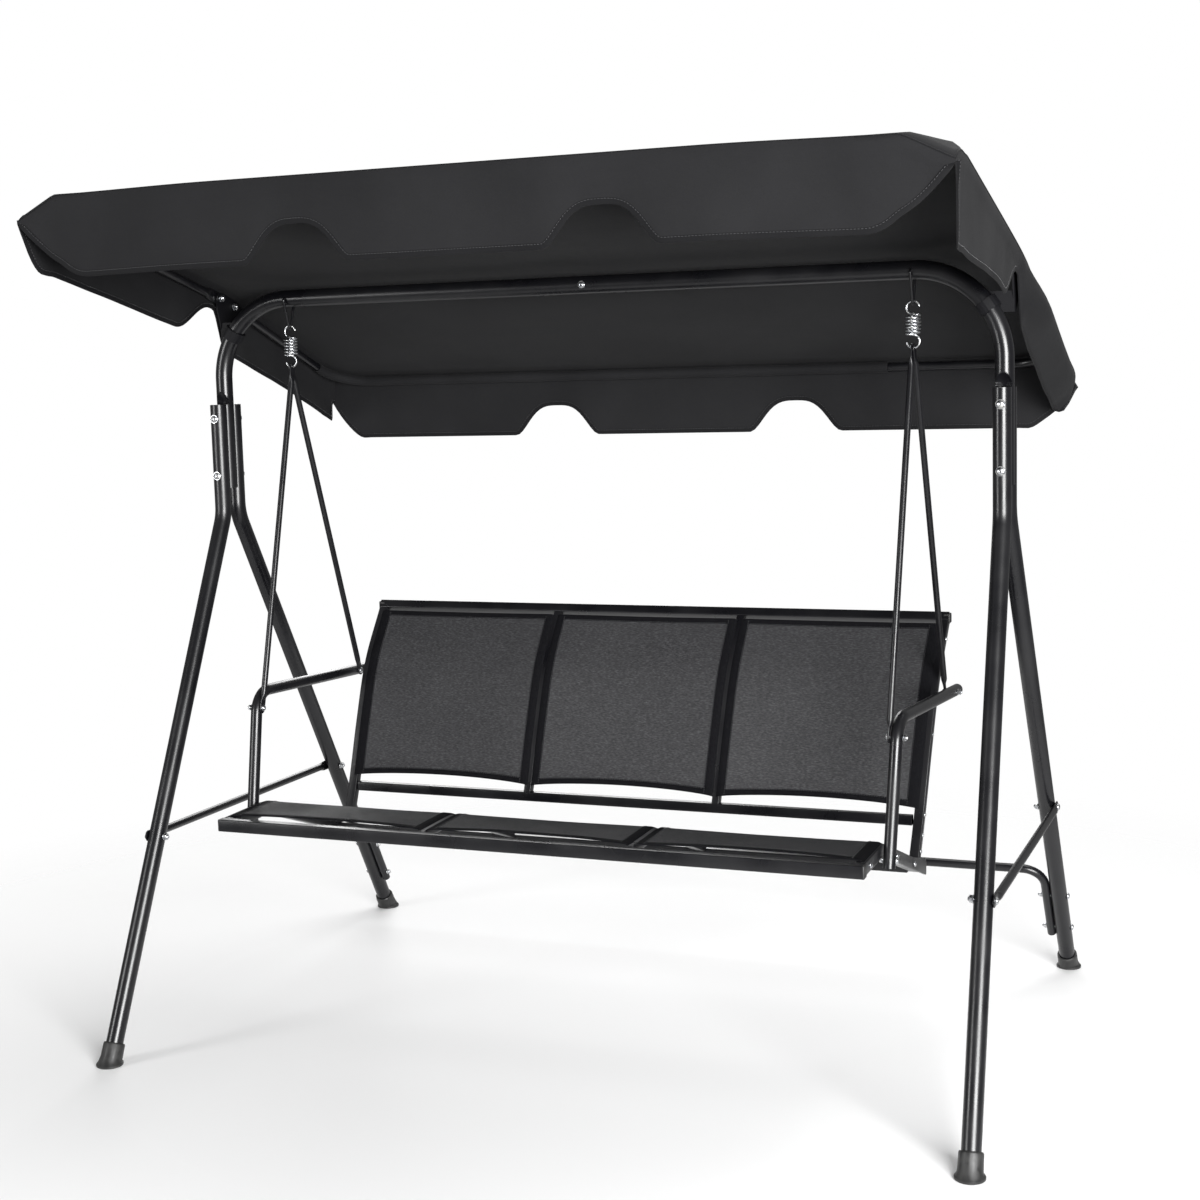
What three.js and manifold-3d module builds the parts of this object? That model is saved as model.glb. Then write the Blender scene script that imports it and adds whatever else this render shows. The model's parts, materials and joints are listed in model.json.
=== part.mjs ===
// A three-seat garden swing with a sling bench, a fabric canopy and a tubular steel frame.
// Millimetres. X runs along the bench, +Y to the back, +Z up.
// Everything is laid out from the top bar's axis (y = 0) and the ground (z = 0);
// the last lines move the whole swing so that the middle of its footprint is the origin.

import * as THREE from 'three';
import { mergeVertices } from 'three/addons/utils/BufferGeometryUtils.js';
import Module from 'manifold-3d';

const wasm = await Module();
wasm.setup();

// ---------------------------------------------------------------- driving dimensions

const GAP = 0.3;                     // clearance between touching pieces

const LEG_R = 17;                    // leg tube
const LEG_WALL = 1.5;
const FOOT_X = 850;                  // half the stance width
const FRONT_FOOT_Y = -493;
const REAR_FOOT_Y = 674;
const LEG_TOP_X = 825;
const LEG_TOP_Y = 28;                // the two leg tops nest on the top bar's end
const LEG_TOP_Z = 1289;
const LEG_BEND_Z = 1055;

const BAR_R = 17.5;                  // top bar tube
const BAR_WALL = 1.5;
const BAR_Z = 1506;
const BAR_BEND = 165;
const BAR_END_Z = 1112;
const BAR_SEAM_X = 30;
const SPLICE_BOLT_X = 10;
const LEG_BOLT_ZS = { upper: 1259, lower: 1139 };

const BRACE_R = 8;
const BRACE_Z = 420;
const CROSSBAR_R = 9.3;
const CROSSBAR_Z = 258;
const CROSSBAR_END_Z = 92;
const CROSSBAR_BEND = 45;

const HANGER_X = 658;                // the bench hangs at this distance from the middle
const HANG_PIVOT_Z = 1450;           // where the spring's top hook rocks on the stirrup
const SPRING_WIRE_R = 2.3;
const SPRING_COIL_R = 13.2;
const SPRING_HOOK_R = 12.3;
const SPRING_TURNS = 6;
const SPRING_PITCH = 6.1;
const SPRING_FOOT_Z = HANG_PIVOT_Z - 4 * SPRING_HOOK_R - SPRING_TURNS * SPRING_PITCH;
const ROD_R = 6;
const ROD_EYE_Z = SPRING_FOOT_Z - 0.8;      // the eyes hang on the lower hook's wire

const SEAT_HALF = 646;               // half the length of the seat frame
const SEAT_FRONT_Y = -376;
const SEAT_FRONT_Z = 482;            // top of the front rail
const SEAT_KNEE = { y: -218, z: 484 };   // the top of the side rails, where they bend down to the back
const SEAT_KNEE_BEND = 80;
const SEAT_SLOPE = 0.354;            // behind the knee the seat drops this much for each millimetre back
const SEAT_REAR_Y = 70;
const RAIL_W = 20;
const RAIL_H = 24;
const RAIL_WALL = 1.5;
const RIB_X = 211;                   // the two middle ribs of seat and back
const RIB_W = 16;
const SLING_T = 2;
const ARM_R = 11.5;

const CANOPY_TUBE_R = 9;
const CANOPY_ARM_X = 842;
const CANOPY_PIVOT = { y: 20, z: 1514 };
const CANOPY_CLAMP = { y: 70, z: 1497 };
const CANOPY_FRONT = { y: -592, z: 1668 };
const CANOPY_REAR = { y: 517, z: 1330 };
const CANOPY_CORNER = 88;            // bend radius of the canopy tubes in plan
const FABRIC_T = 2.5;
const VALANCE_DROP = 133;
const CLOTH_CORNER = 24;             // the cloth's corners are sewn nearly square

const BOLT_R = 4;
const HOLE_R = 4.9;                  // eight-sided holes, wide enough for a round shank

// ---------------------------------------------------------------- materials

const MATERIALS = {
  frame: new THREE.MeshStandardMaterial({ color: 0x0d0d0f, roughness: 0.28, metalness: 0.35 }),
  zinc: new THREE.MeshStandardMaterial({ color: 0xc9ccd0, roughness: 0.25, metalness: 1 }),
  foot: new THREE.MeshStandardMaterial({ color: 0x161616, roughness: 0.6, metalness: 0 }),
  canopy: new THREE.MeshStandardMaterial({ color: 0x232325, roughness: 0.85, metalness: 0 }),
  sling: new THREE.MeshStandardMaterial({ color: 0x303033, roughness: 0.8, metalness: 0 }),
};

// ---------------------------------------------------------------- solids and booleans

function solidOf(geometry) {
  const bare = geometry.clone();
  bare.deleteAttribute('normal');
  bare.deleteAttribute('uv');
  const merged = mergeVertices(bare, 1e-4);
  return new wasm.Manifold(new wasm.Mesh({
    numProp: 3,
    vertProperties: new Float32Array(merged.attributes.position.array),
    triVerts: new Uint32Array(merged.index.array),
  }));
}

function geometryOf(solid) {
  const result = solid.getMesh();
  const geometry = new THREE.BufferGeometry();
  geometry.setAttribute('position', new THREE.BufferAttribute(result.vertProperties, 3));
  geometry.setIndex(new THREE.BufferAttribute(result.triVerts, 1));
  return geometry;
}

function join(...geometries) {
  return geometryOf(geometries.map(solidOf).reduce((sum, next) => sum.add(next)));
}

function cut(geometry, ...tools) {
  return geometryOf(tools.map(solidOf).reduce((rest, tool) => rest.subtract(tool), solidOf(geometry)));
}

function common(first, second) {
  return geometryOf(solidOf(first).intersect(solidOf(second)));
}

function point(x, y, z) {
  return new THREE.Vector3(x, y, z);
}

function box(low, high) {
  const size = high.clone().sub(low);
  const middle = low.clone().add(high).multiplyScalar(0.5);
  return new THREE.BoxGeometry(size.x, size.y, size.z).translate(middle.x, middle.y, middle.z);
}

// A round bar from one point to another.
function pin(from, to, radius, sides = 8) {
  const span = to.clone().sub(from);
  const turn = new THREE.Quaternion().setFromUnitVectors(point(0, 1, 0), span.clone().normalize());
  const middle = from.clone().add(to).multiplyScalar(0.5);
  return new THREE.CylinderGeometry(radius, radius, span.length(), sides)
    .applyQuaternion(turn)
    .translate(middle.x, middle.y, middle.z);
}

// ---------------------------------------------------------------- tubes

// A line of straight stretches and round bends, sampled only where it turns.
class Route extends THREE.Curve {
  constructor(corners, bend = 0, steps = 5, side = point(1, 0, 0)) {
    super();
    this.side = side;
    this.stations = [corners[0]];
    for (let i = 1; i < corners.length - 1; i++) {
      this.addCorner(corners[i - 1], corners[i], corners[i + 1], bend, steps);
    }
    this.stations.push(corners[corners.length - 1]);
  }

  addCorner(before, corner, after, bend, steps) {
    const inward = before.clone().sub(corner).normalize();
    const outward = after.clone().sub(corner).normalize();
    const half = inward.angleTo(outward) / 2;
    const turning = Math.PI - 2 * half;
    if (bend === 0 || turning < 0.01) {
      this.stations.push(corner);
      return;
    }
    const middle = inward.clone().add(outward).normalize();
    const centre = corner.clone().addScaledVector(middle, bend / Math.sin(half));
    const start = corner.clone().addScaledVector(inward, bend / Math.tan(half)).sub(centre);
    const axis = inward.clone().negate().cross(outward).normalize();
    for (let k = 0; k <= steps; k++) {
      const spoke = start.clone().applyAxisAngle(axis, turning * k / steps);
      this.stations.push(centre.clone().add(spoke));
    }
  }

  get steps() {
    return this.stations.length - 1;
  }

  getUtoTmapping(u) {
    return u;
  }

  getPoint(t, target = new THREE.Vector3()) {
    return target.copy(this.stations[Math.round(t * this.steps)]);
  }

  getTangent(t, target = new THREE.Vector3()) {
    const i = Math.round(t * this.steps);
    const before = this.stations[Math.max(i - 1, 0)];
    const after = this.stations[Math.min(i + 1, this.steps)];
    return target.copy(after).sub(before).normalize();
  }

  // The section's first axis stays as near as it can to the route's side direction.
  computeFrenetFrames(segments) {
    const frames = { tangents: [], normals: [], binormals: [] };
    for (let i = 0; i <= segments; i++) {
      const tangent = this.getTangent(i / segments);
      const binormal = tangent.clone().cross(this.side).normalize();
      frames.tangents.push(tangent);
      frames.normals.push(binormal.clone().cross(tangent).normalize());
      frames.binormals.push(binormal);
    }
    return frames;
  }
}

function polygon(radius, sides) {
  const corners = [];
  for (let i = 0; i < sides; i++) {
    const angle = 2 * Math.PI * (i + 0.5) / sides;
    corners.push(new THREE.Vector2(radius * Math.cos(angle), radius * Math.sin(angle)));
  }
  return corners;
}

function rectangle(width, height) {
  const x = width / 2;
  const y = height / 2;
  return [[-x, -y], [x, -y], [x, y], [-x, y]].map(([a, b]) => new THREE.Vector2(a, b));
}

function sweep(route, outline, hole = null) {
  const shape = new THREE.Shape(outline);
  if (hole) {
    shape.holes.push(new THREE.Path(hole));
  }
  return new THREE.ExtrudeGeometry(shape, { steps: route.steps, extrudePath: route });
}

function roundTube(route, radius, wall, sides = 12) {
  return sweep(route, polygon(radius, sides), polygon(radius - wall, sides / 2));
}

function boxTube(route, width, height, wall = RAIL_WALL) {
  return sweep(route, rectangle(width, height), rectangle(width - 2 * wall, height - 2 * wall));
}

// Presses the end of a tube flat: fully flat for `flat` millimetres, then back to round over `taper`.
// Points away from this end's axis belong to another stretch and stay.
function pressed(geometry, { end, along, across, radius, wall, flat, taper, half }) {
  const positions = geometry.attributes.position;
  const slit = half - wall;
  const v = new THREE.Vector3();
  for (let i = 0; i < positions.count; i++) {
    v.fromBufferAttribute(positions, i).sub(end);
    const depth = v.dot(along);
    const amount = THREE.MathUtils.clamp(1 - (depth - flat) / taper, 0, 1);
    const height = v.dot(across);
    const sideways = v.clone().addScaledVector(along, -depth).addScaledVector(across, -height);
    const fromAxis = Math.hypot(height, sideways.length());
    if (fromAxis > 2 * radius) {
      continue;
    }
    const outer = fromAxis > radius - wall / 2;
    const flatHeight = height * (outer ? half / radius : slit / (radius - wall));
    v.copy(end)
      .addScaledVector(along, depth)
      .addScaledVector(across, THREE.MathUtils.lerp(height, flatHeight, amount))
      .addScaledVector(sideways, 1 + 0.4 * amount);
    positions.setXYZ(i, v.x, v.y, v.z);
  }
  return geometry;
}

// A straight or bent tube with both ends pressed flat across `across`.
function flatEndedTube(corners, { radius, wall, across, side = across, flat, taper, half, bend = 0, sides = 10 }) {
  const count = corners.length;
  const first = corners[1].clone().sub(corners[0]).normalize();
  const last = corners[count - 2].clone().sub(corners[count - 1]).normalize();
  const route = new Route([
    corners[0],
    corners[0].clone().addScaledVector(first, flat),
    corners[0].clone().addScaledVector(first, flat + taper),
    ...corners.slice(1, -1),
    corners[count - 1].clone().addScaledVector(last, flat + taper),
    corners[count - 1].clone().addScaledVector(last, flat),
    corners[count - 1],
  ], bend, 5, side);
  const tube = roundTube(route, radius, wall, sides);
  for (const [end, along] of [[corners[0], first], [corners[count - 1], last]]) {
    const level = across.clone().addScaledVector(along, -across.dot(along)).normalize();
    pressed(tube, { end, along, across: level, radius, wall, flat, taper, half });
  }
  return tube;
}

// ---------------------------------------------------------------- bolts

// A domed bolt with its nut. `head` is under the head, `axis` points from the head to the nut.
function bolt(head, axis, grip, radius = BOLT_R, headRadius = 8, headHeight = 4.5) {
  const nutHeight = 1.5 * radius;
  const tail = 2;
  const profile = [
    [0, headHeight],
    [0.6 * headRadius, 0.8 * headHeight],
    [headRadius, 0.2 * headHeight],
    [headRadius, 0],
    [radius, 0],
    [radius, -grip - nutHeight - tail],
    [0, -grip - nutHeight - tail],
  ].map(([x, y]) => new THREE.Vector2(x, y)).reverse();
  const shank = new THREE.LatheGeometry(profile, 8);
  const nut = new THREE.CylinderGeometry(1.75 * radius, 1.75 * radius, nutHeight, 6)
    .translate(0, -grip - nutHeight / 2, 0);
  const turn = new THREE.Quaternion().setFromUnitVectors(point(0, -1, 0), axis);
  return join(shank, nut).applyQuaternion(turn).translate(head.x, head.y, head.z);
}

// ---------------------------------------------------------------- scene

const swing = new THREE.Group();

function add(name, geometry, material) {
  const mesh = new THREE.Mesh(geometry, material);
  mesh.name = name;
  swing.add(mesh);
}

const SIDES = [['left', -1], ['right', 1]];

// ---------------------------------------------------------------- legs and feet

function legBend(side, end) {
  return point(side * LEG_TOP_X, end * LEG_TOP_Y, LEG_BEND_Z);
}

function legFoot(side, end) {
  return point(side * FOOT_X, end < 0 ? FRONT_FOOT_Y : REAR_FOOT_Y, 0);
}

// The point of a leg's slanted part at a height.
function legAt(side, end, z) {
  return legFoot(side, end).lerp(legBend(side, end), z / LEG_BEND_Z);
}

const LEG_END_Z = 13;

function leg(side, end) {
  const route = new Route([
    legAt(side, end, LEG_END_Z),
    legBend(side, end),
    point(side * LEG_TOP_X, end * LEG_TOP_Y, LEG_TOP_Z),
  ], 90, 4);
  const brace = legAt(side, end, BRACE_Z);
  const holes = [pin(brace.clone().setX(side * 800), brace.clone().setX(side * 880), HOLE_R)];
  for (const z of Object.values(LEG_BOLT_ZS)) {
    holes.push(pin(point(side * LEG_TOP_X, -60, z), point(side * LEG_TOP_X, 60, z), HOLE_R));
  }
  return cut(roundTube(route, LEG_R, LEG_WALL), ...holes);
}

function footCap(side, end) {
  const foot = legFoot(side, end);
  const direction = legBend(side, end).sub(foot).normalize();
  const cup = pin(foot.clone().addScaledVector(direction, -20), foot.clone().addScaledVector(direction, 44), 21, 16);
  const base = pin(foot, foot.clone().setZ(6), 26.5, 16);
  const boreStart = legAt(side, end, LEG_END_Z).addScaledVector(direction, -GAP);
  const bore = pin(boreStart, boreStart.clone().addScaledVector(direction, 60), LEG_R + 2 * GAP, 16);
  const ground = box(point(-1000, -1000, -60), point(1000, 1000, 0));
  return cut(join(cup, base), ground, bore);
}

for (const [sideName, side] of SIDES) {
  for (const [endName, end] of [['front', -1], ['rear', 1]]) {
    add(`leg_${endName}_${sideName}`, leg(side, end), MATERIALS.frame);
    add(`foot_cap_${endName}_${sideName}`, footCap(side, end), MATERIALS.foot);
  }
}

// ---------------------------------------------------------------- top bar

// Clears the leg tube that nests against the bar's end, with a rounded run-out above it.
function legSaddle(side, end, radius) {
  const x = side * LEG_TOP_X;
  const y = end * LEG_TOP_Y;
  const trough = pin(point(x, y, BAR_END_Z - 60), point(x, y, LEG_TOP_Z + 3), radius, 16);
  const runOut = new THREE.SphereGeometry(radius, 16, 8)
    .rotateX(Math.PI / 2)
    .scale(1, 1, 1.7)
    .translate(x, y, LEG_TOP_Z + 3);
  return join(trough, runOut);
}

function barRoute(side, startX, endZ) {
  return new Route([
    point(side * startX, 0, BAR_Z),
    point(side * LEG_TOP_X, 0, BAR_Z),
    point(side * LEG_TOP_X, 0, endZ),
  ], BAR_BEND, 6, point(0, 1, 0));
}

// The right half's reduced end, which slides into the left half.
function swagedEnd() {
  const bore = BAR_R - 2 * BAR_WALL - GAP;
  const profile = [
    [bore, -BAR_SEAM_X],
    [bore, BAR_SEAM_X + 20],
    [BAR_R, BAR_SEAM_X + 20],
    [BAR_R, BAR_SEAM_X + GAP],
    [BAR_R - BAR_WALL - 2 * GAP, BAR_SEAM_X + GAP],
    [BAR_R - BAR_WALL - 2 * GAP, -BAR_SEAM_X],
    [bore, -BAR_SEAM_X],
  ].map(([x, y]) => new THREE.Vector2(x, y)).reverse();
  return new THREE.LatheGeometry(profile, 16).rotateZ(-Math.PI / 2).translate(0, 0, BAR_Z);
}

function topBar(side) {
  const outside = sweep(barRoute(side, side < 0 ? -BAR_SEAM_X : BAR_SEAM_X + 15, BAR_END_Z), polygon(BAR_R, 16));
  const inside = sweep(barRoute(side, -BAR_SEAM_X - 10, BAR_END_Z - 10), polygon(BAR_R - BAR_WALL, 16));
  const saddles = [-1, 1].map((end) => legSaddle(side, end, LEG_R + 2 * GAP));
  const linings = [-1, 1].map((end) => legSaddle(side, end, LEG_R + 2 * GAP + BAR_WALL));
  let bar = cut(cut(outside, ...saddles), cut(inside, ...linings));
  if (side > 0) {
    bar = join(bar, swagedEnd());
  }
  const holes = [
    pin(point(SPLICE_BOLT_X, -30, BAR_Z), point(SPLICE_BOLT_X, 30, BAR_Z), HOLE_R),
    pin(point(side * HANGER_X, -30, BAR_Z), point(side * HANGER_X, 30, BAR_Z), 3.6),
  ];
  for (const z of Object.values(LEG_BOLT_ZS)) {
    holes.push(pin(point(side * LEG_TOP_X, -30, z), point(side * LEG_TOP_X, 30, z), HOLE_R));
  }
  return cut(bar, ...holes);
}

const BACKWARD = point(0, 1, 0);

for (const [sideName, side] of SIDES) {
  add(`top_bar_${sideName}`, topBar(side), MATERIALS.frame);
  for (const [levelName, z] of Object.entries(LEG_BOLT_ZS)) {
    const head = point(side * LEG_TOP_X, -LEG_TOP_Y - LEG_R - GAP, z);
    add(`leg_bolt_${levelName}_${sideName}`, bolt(head, BACKWARD, -2 * head.y), MATERIALS.zinc);
  }
}
add('top_bar_splice_bolt',
  bolt(point(SPLICE_BOLT_X, -BAR_R - GAP, BAR_Z), BACKWARD, 2 * (BAR_R + GAP), 3.5, 6.5, 3.5), MATERIALS.zinc);

// ---------------------------------------------------------------- braces between the legs

const BRACE_FLAT_HALF = 1.8;

function sideBrace(side) {
  const overhang = 14;
  const front = legAt(side, -1, BRACE_Z);
  const rear = legAt(side, 1, BRACE_Z);
  const x = side * (Math.abs(front.x) + LEG_R + GAP + BRACE_FLAT_HALF);
  const tube = flatEndedTube(
    [point(x, front.y - overhang, BRACE_Z), point(x, 0, BRACE_Z), point(x, rear.y + overhang, BRACE_Z)],
    { radius: BRACE_R, wall: 1.2, across: point(1, 0, 0), flat: 30, taper: 22, half: BRACE_FLAT_HALF },
  );
  // The flats reach past the legs, so the round part starts clear of them.
  const holes = [front, rear].map((leg) => pin(leg.clone().setX(side * 840), leg.clone().setX(side * 880), HOLE_R));
  return cut(tube, ...holes);
}

function braceBolt(side, end) {
  const hole = legAt(side, end, BRACE_Z);
  const outside = Math.abs(hole.x) + LEG_R + 2 * GAP + 2 * BRACE_FLAT_HALF;
  const inside = Math.abs(hole.x) - LEG_R - GAP;
  return bolt(hole.clone().setX(side * outside), point(-side, 0, 0), outside - inside, BOLT_R, 7, 4);
}

// Runs behind the legs, turns down inside each rear leg and lies along it.
function rearCrossbar() {
  const inset = LEG_R + CROSSBAR_R + GAP;
  const alongLeg = (side, z) => {
    const axis = legAt(side, 1, z);
    return axis.setX(axis.x - side * inset);
  };
  const route = new Route([
    alongLeg(-1, CROSSBAR_END_Z),
    alongLeg(-1, CROSSBAR_Z),
    alongLeg(1, CROSSBAR_Z),
    alongLeg(1, CROSSBAR_END_Z),
  ], CROSSBAR_BEND, 6, point(0, 1, 0));
  return roundTube(route, CROSSBAR_R, 1.2, 10);
}

for (const [sideName, side] of SIDES) {
  add(`side_brace_${sideName}`, sideBrace(side), MATERIALS.frame);
  for (const [endName, end] of [['front', -1], ['rear', 1]]) {
    add(`brace_bolt_${endName}_${sideName}`, braceBolt(side, end), MATERIALS.zinc);
  }
}
add('rear_crossbar', rearCrossbar(), MATERIALS.frame);

// ---------------------------------------------------------------- hangers

// A wire stirrup: its ends turn into holes in the bar, and the spring hooks over its bend.
function stirrup(side) {
  const x = side * HANGER_X;
  const wire = 2.75;
  const bend = wire + SPRING_WIRE_R + GAP;
  const shoulder = 23.5;
  const apexZ = HANG_PIVOT_Z - bend / Math.sin(Math.atan(shoulder / (BAR_Z - HANG_PIVOT_Z + 19)));
  const route = new Route([
    point(x, -12, BAR_Z),
    point(x, -shoulder, BAR_Z),
    point(x, 0, apexZ),
    point(x, shoulder, BAR_Z),
    point(x, 12, BAR_Z),
  ], bend, 6);
  return sweep(route, polygon(wire, 6));
}

// An open hook, the coil and a second open hook, wound from one wire.
class SpringWire extends THREE.Curve {
  constructor(x) {
    super();
    const coilTop = HANG_PIVOT_Z - 2 * SPRING_HOOK_R;
    const coilBottom = coilTop - SPRING_TURNS * SPRING_PITCH;
    const points = [];
    for (let angle = 40; angle <= 250; angle += 30) {
      const turn = THREE.MathUtils.degToRad(angle);
      points.push(point(x + SPRING_HOOK_R * Math.cos(turn), 0, coilTop + SPRING_HOOK_R * (1 + Math.sin(turn))));
    }
    const perTurn = 8;
    for (let i = 0; i <= SPRING_TURNS * perTurn; i++) {
      const turn = 2 * Math.PI * i / perTurn - Math.PI / 2;
      const z = THREE.MathUtils.lerp(coilTop, coilBottom, i / (SPRING_TURNS * perTurn));
      points.push(point(x + SPRING_COIL_R * Math.cos(turn), SPRING_COIL_R * Math.sin(turn), z));
    }
    for (let angle = 110; angle <= 320; angle += 30) {
      const turn = THREE.MathUtils.degToRad(angle);
      points.push(point(x + SPRING_HOOK_R * Math.cos(turn), 0, coilBottom - SPRING_HOOK_R * (1 - Math.sin(turn))));
    }
    this.points = points;
    this.curve = new THREE.CatmullRomCurve3(points);
  }

  getPoint(t, target) {
    return this.curve.getPoint(t, target);
  }
}

function spring(side) {
  const wire = new SpringWire(side * HANGER_X);
  return new THREE.ExtrudeGeometry(new THREE.Shape(polygon(SPRING_WIRE_R, 6)), {
    steps: wire.points.length - 1,
    extrudePath: wire,
  });
}

for (const [sideName, side] of SIDES) {
  add(`hanger_stirrup_${sideName}`, stirrup(side), MATERIALS.zinc);
  add(`spring_${sideName}`, spring(side), MATERIALS.zinc);
}

// ---------------------------------------------------------------- bench: armrests and hanger rods

const ROD_FLAT_HALF = 1.6;
const ARM_FOOT = { x: 659, y: -234, z: 443 };
const ARM_CORNER = { x: 665, y: -183, z: 704 };
const ARM_END = { x: 679, y: 292, z: 680 };
const ROD_FRONT_BOLT = { z: 672 };
const ROD_REAR_BOLT = { y: 247 };

function lineAt(from, to, key, value) {
  const share = (value - from[key]) / (to[key] - from[key]);
  return point(...['x', 'y', 'z'].map((axis) => THREE.MathUtils.lerp(from[axis], to[axis], share)));
}

function armrest(side) {
  const corners = [ARM_FOOT, ARM_CORNER, ARM_END].map(({ x, y, z }) => point(side * x, y, z));
  const tube = roundTube(new Route(corners, 50, 5), ARM_R, 1.2);
  const front = lineAt(ARM_FOOT, ARM_CORNER, 'z', ROD_FRONT_BOLT.z);
  const rear = lineAt(ARM_CORNER, ARM_END, 'y', ROD_REAR_BOLT.y);
  return cut(tube, ...[front, rear].map((at) => pin(
    point(side * (at.x - 20), at.y, at.z),
    point(side * (at.x + 20), at.y, at.z),
    3.8,
  )));
}

// The rod's lower flat lies against the armrest's inner side, its upper eye over the spring's hook.
function hangerRod(side, end) {
  const at = end < 0
    ? lineAt(ARM_FOOT, ARM_CORNER, 'z', ROD_FRONT_BOLT.z)
    : lineAt(ARM_CORNER, ARM_END, 'y', ROD_REAR_BOLT.y);
  const low = point(side * (at.x - ARM_R - 2 * GAP - ROD_FLAT_HALF), at.y, at.z);
  const eye = point(side * (HANGER_X + end * (ROD_FLAT_HALF + GAP)), 0, ROD_EYE_Z);
  const direction = eye.clone().sub(low).normalize();
  const top = eye.clone().addScaledVector(direction, 9);
  const bottom = low.clone().addScaledVector(direction, -11);
  const middle = top.clone().lerp(bottom, 0.5);
  const tube = flatEndedTube([bottom, middle, top], {
    radius: ROD_R, wall: 1.2, across: point(1, 0, 0), flat: 24, taper: 18, half: ROD_FLAT_HALF, sides: 8,
  });
  const eyeHole = pin(eye.clone().setX(eye.x - 12), eye.clone().setX(eye.x + 12), 4.6);
  const boltHole = pin(low.clone().setX(low.x - 12), low.clone().setX(low.x + 12), 3.8);
  return cut(tube, eyeHole, boltHole);
}

for (const [sideName, side] of SIDES) {
  add(`armrest_${sideName}`, armrest(side), MATERIALS.frame);
  add(`hanger_rod_front_${sideName}`, hangerRod(side, -1), MATERIALS.frame);
  add(`hanger_rod_rear_${sideName}`, hangerRod(side, 1), MATERIALS.frame);
}

// ---------------------------------------------------------------- bench: seat frame

const SEAT_PITCH = {
  front: Math.atan2(SEAT_KNEE.z - SEAT_FRONT_Z, SEAT_KNEE.y - SEAT_FRONT_Y),
  rear: -Math.atan(SEAT_SLOPE),
};

function seatTop(y) {
  const pitch = y < SEAT_KNEE.y ? SEAT_PITCH.front : SEAT_PITCH.rear;
  return SEAT_KNEE.z + Math.tan(pitch) * (y - SEAT_KNEE.y);
}

// The line that stays a depth below the seat's top, level in front of the knee and falling behind it.
function seatLine(x, fromY, toY, depth) {
  const middle = (SEAT_PITCH.front + SEAT_PITCH.rear) / 2;
  const reach = depth / Math.cos((SEAT_PITCH.front - SEAT_PITCH.rear) / 2);
  return new Route([
    point(x, fromY, seatTop(fromY) - depth / Math.cos(SEAT_PITCH.front)),
    point(x, SEAT_KNEE.y + reach * Math.sin(middle), SEAT_KNEE.z - reach * Math.cos(middle)),
    point(x, toY, seatTop(toY) - depth / Math.cos(SEAT_PITCH.rear)),
  ], SEAT_KNEE_BEND - depth);
}

function seatRail(x, fromY, toY, width, height) {
  return boxTube(seatLine(x, fromY, toY, height / 2), width, height);
}

// A rail along X, given its middle.
function crossRail(halfLength, y, z, depth, height) {
  return boxTube(new Route([point(-halfLength, y, z), point(halfLength, y, z)], 0, 1, point(0, 1, 0)), depth, height);
}

const PLATE_X = { inner: 641.5, outer: 645.5 };
const PLATE_Y = { front: 20, rear: 141 };
const BACK_FOOT = { y: 104, z: 360 };

// The side rail carries a welded plate that reaches back to the foot of the backrest.
function seatSideRail(side) {
  const x = side * (SEAT_HALF - RAIL_W / 2);
  const rail = seatRail(x, SEAT_FRONT_Y + RAIL_W + 4, SEAT_REAR_Y + RAIL_W / 2, RAIL_W, RAIL_H);
  const outline = new THREE.Shape([
    [PLATE_Y.front, seatTop(PLATE_Y.front) - 1],
    [PLATE_Y.front, seatTop(PLATE_Y.front) - RAIL_H],
    [PLATE_Y.rear, BACK_FOOT.z - 28],
    [PLATE_Y.rear, BACK_FOOT.z + 6],
  ].map(([y, z]) => new THREE.Vector2(y, z)));
  const plate = new THREE.ExtrudeGeometry(outline, { depth: PLATE_X.outer - PLATE_X.inner, bevelEnabled: false })
    .applyMatrix4(new THREE.Matrix4().makeBasis(point(0, 1, 0), point(0, 0, 1), point(1, 0, 0)))
    .translate(side < 0 ? -PLATE_X.outer : PLATE_X.inner, 0, 0);
  return join(rail, plate);
}

const FRONT_RAIL_Z = SEAT_FRONT_Z - RAIL_H / 2;
const REAR_RAIL_Z = seatTop(SEAT_REAR_Y) - RAIL_H / 2 - 4;

add('seat_front_rail', crossRail(SEAT_HALF, SEAT_FRONT_Y + RAIL_W / 2, FRONT_RAIL_Z, RAIL_W, RAIL_H), MATERIALS.frame);
add('seat_rear_rail',
  crossRail(SEAT_HALF - RAIL_W - GAP, SEAT_REAR_Y - 4, REAR_RAIL_Z, RIB_W, RAIL_W), MATERIALS.frame);
for (const [sideName, side] of SIDES) {
  add(`seat_side_rail_${sideName}`, seatSideRail(side), MATERIALS.frame);
  add(`seat_rib_${sideName}`,
    seatRail(side * RIB_X, SEAT_FRONT_Y + RAIL_W + 4, SEAT_REAR_Y - 4 - RIB_W / 2 - 5, RIB_W, RIB_W), MATERIALS.frame);
}

// ---------------------------------------------------------------- bench: back frame

const BACK_LINE = new THREE.CatmullRomCurve3([
  point(0, BACK_FOOT.y, BACK_FOOT.z),
  point(0, 148, 455),
  point(0, 198, 580),
  point(0, 254, 700),
  point(0, 336, 806),
]);
const BACK_TOP = { y: 345, z: 818 };
const BACK_BOTTOM = { y: 143, z: 441 };
const BACK_DEPTH = 18;
const BACK_SPLAY = { low: 630, high: 644 };     // the side rails' distance from the middle

function backAt(t) {
  return BACK_LINE.getPointAt(t);
}

function backRail(xLow, xHigh, from, to, width) {
  const steps = 6;
  const line = [];
  for (let i = 0; i <= steps; i++) {
    const t = THREE.MathUtils.lerp(from, to, i / steps);
    line.push(backAt(t).setX(THREE.MathUtils.lerp(xLow, xHigh, t)));
  }
  return boxTube(new Route(line), width, BACK_DEPTH);
}

const BACK_RIB_SPAN = { from: 0.21, to: 0.985 };

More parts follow.
